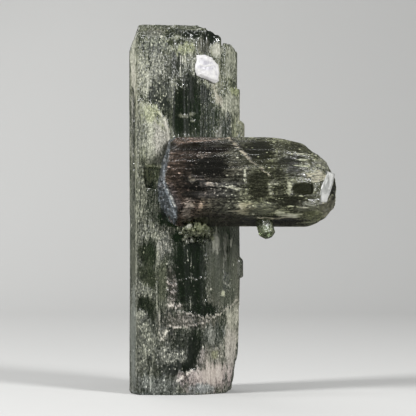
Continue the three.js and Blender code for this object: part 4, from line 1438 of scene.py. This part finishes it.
def elbaite(name, stretch, squeeze, along, dark, rose, glass, swallowed, density):
    """See-through elbaite under a frosted skin; rose is the colour that its rose patches take."""
    material, tree, skin_shader = new_material(name)
    place = add(tree, "ShaderNodeTexCoord").outputs["Object"]
    white, relief, dullness = whiteness(tree, place, stretch, squeeze, along)
    body = blend_colour(tree, calc(tree, "POWER", white, FROST_POWER), dark, PALE_FROST)
    tint_share = spread(tree, white, *TINT_SHARE)
    for value_name, tint in (("olive", OLIVE), ("rose", rose), ("blue", BLUE)):
        tinted = blend_colour(tree, 1.0, body, tint, "MULTIPLY")
        body = blend_colour(tree, times(tree, value_of(tree, value_name), tint_share), body, tinted)
    height = {"Strength": 1.0, "Distance": RELIEF_HEIGHT, "Height": relief}
    both = {"Normal": add(tree, "ShaderNodeBump", height).outputs[0], "IOR": ELBAITE_IOR}

    dull_skin = plus(tree, dullness, spread(tree, white, *SKIN_ROUGHNESS))
    feed(tree, skin_shader, {**both, "Base Color": body, "Roughness": dull_skin})
    glass_shader = add(tree, "ShaderNodeBsdfPrincipled", both)
    dull_glass = plus(tree, dullness, spread(tree, white, *GLASS_ROUGHNESS))
    clear = {"Base Color": glass, "Roughness": dull_glass, "Transmission Weight": 1.0}
    feed(tree, glass_shader, clear)

    cover = spread(tree, white, *SKIN_COVER)
    layers = {0: cover, 1: glass_shader.outputs[0], 2: skin_shader.outputs[0]}
    mixed = add(tree, "ShaderNodeMixShader", layers)
    feed(tree, tree.nodes["Material Output"], {"Surface": mixed.outputs[0]})
    absorb(tree, swallowed, density)
    return material


ALONG_X = (1, 0, 0)
GREEN = {"dark": DARK_GREEN, "rose": PINK, "glass": GREEN_GLASS}
BROWN = {"dark": DARK_BROWN, "rose": MAUVE, "glass": BROWN_GLASS}
upright_finish = elbaite(
    "upright_elbaite", (1, 1, 0.06), (1, 1, 0.5), UPRIGHT,
    **GREEN, swallowed=GREEN_SWALLOWED, density=520.0,
)
cross_finish = elbaite(
    "cross_elbaite", (0.06, 1, 1), (0.5, 1, 1), ALONG_X,
    **BROWN, swallowed=BROWN_SWALLOWED, density=520.0,
)
small_finish = elbaite(
    "small_elbaite", (1, 1, 0.3), (1, 1, 1), UPRIGHT,
    **GREEN, swallowed=PALE_SWALLOWED, density=300.0,
)
upright.data.materials.append(upright_finish)
cross.data.materials.append(cross_finish)
crust.data.materials.append(small_finish)
bud.data.materials.append(small_finish)
print("elbaite on", upright.name, "and", cross.name)

# %% Finish of the chip and the blade
ALBITE = {"dark": (0.38, 0.37, 0.42, 1), "pale": (0.58, 0.57, 0.55, 1)}
SILVERY = {"dark": (0.17, 0.18, 0.165, 1), "pale": (0.62, 0.62, 0.60, 1)}
SMALL_SPECKS = {"Scale": 1600.0, "Amount": 0.3}
SMALL_FIBRES = {"Scale": 1800.0, "Stretch": (1, 1, 0.15)}
SMALL_DETAIL = 0.2
SMALL_BUMPS = {"Strength": 0.4, "Distance": 0.0001}
# How rough the dark parts are, as a share of the pale ones' roughness
DARK_ROUGHNESS = 0.6


def plain_crystal(name, dark, pale, roughness, transmission):
    """A finish for the small pieces: specks and fibres between two colours."""
    material, tree, shader = new_material(name)
    place = add(tree, "ShaderNodeTexCoord").outputs["Object"]
    specks = use(tree, specks_group, Place=place, **SMALL_SPECKS)
    fibres = use(tree, fibres_group, Place=place, **SMALL_FIBRES)
    both = plus(tree, specks["Grain"], fibres["Fibres"])
    detail = about_nothing(tree, both, 2 * MIDDLE, SMALL_DETAIL)
    mixed = plus(tree, value_of(tree, "frost"), detail, clamp=True)
    height = {**SMALL_BUMPS, "Height": mixed}
    inputs = {
        "Base Color": blend_colour(tree, mixed, dark, pale),
        "Roughness": spread(tree, mixed, 0, 1, roughness * DARK_ROUGHNESS, roughness),
        "Normal": add(tree, "ShaderNodeBump", height).outputs[0],
        "Transmission Weight": transmission,
        "IOR": ELBAITE_IOR,
    }
    feed(tree, shader, inputs)
    return material


chip.data.materials.append(plain_crystal("albite", **ALBITE, roughness=0.6, transmission=0.0))
blade.data.materials.append(plain_crystal("blade_glass", **SILVERY, roughness=0.3, transmission=0.3))
print("finishes on", chip.name, "and", blade.name)

# %% [markdown]
# ## Hand the pieces to the frame
# Each piece is told which body it moves with, and which solid of the imported model it stands for.

# %% Ride and replace
for piece in (upright, cross, crust, bud):
    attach(piece, "root")
    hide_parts("elbaite_crystals")
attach(chip, "root")
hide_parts("albite_chip")
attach(blade, "root")
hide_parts("tip_blade")
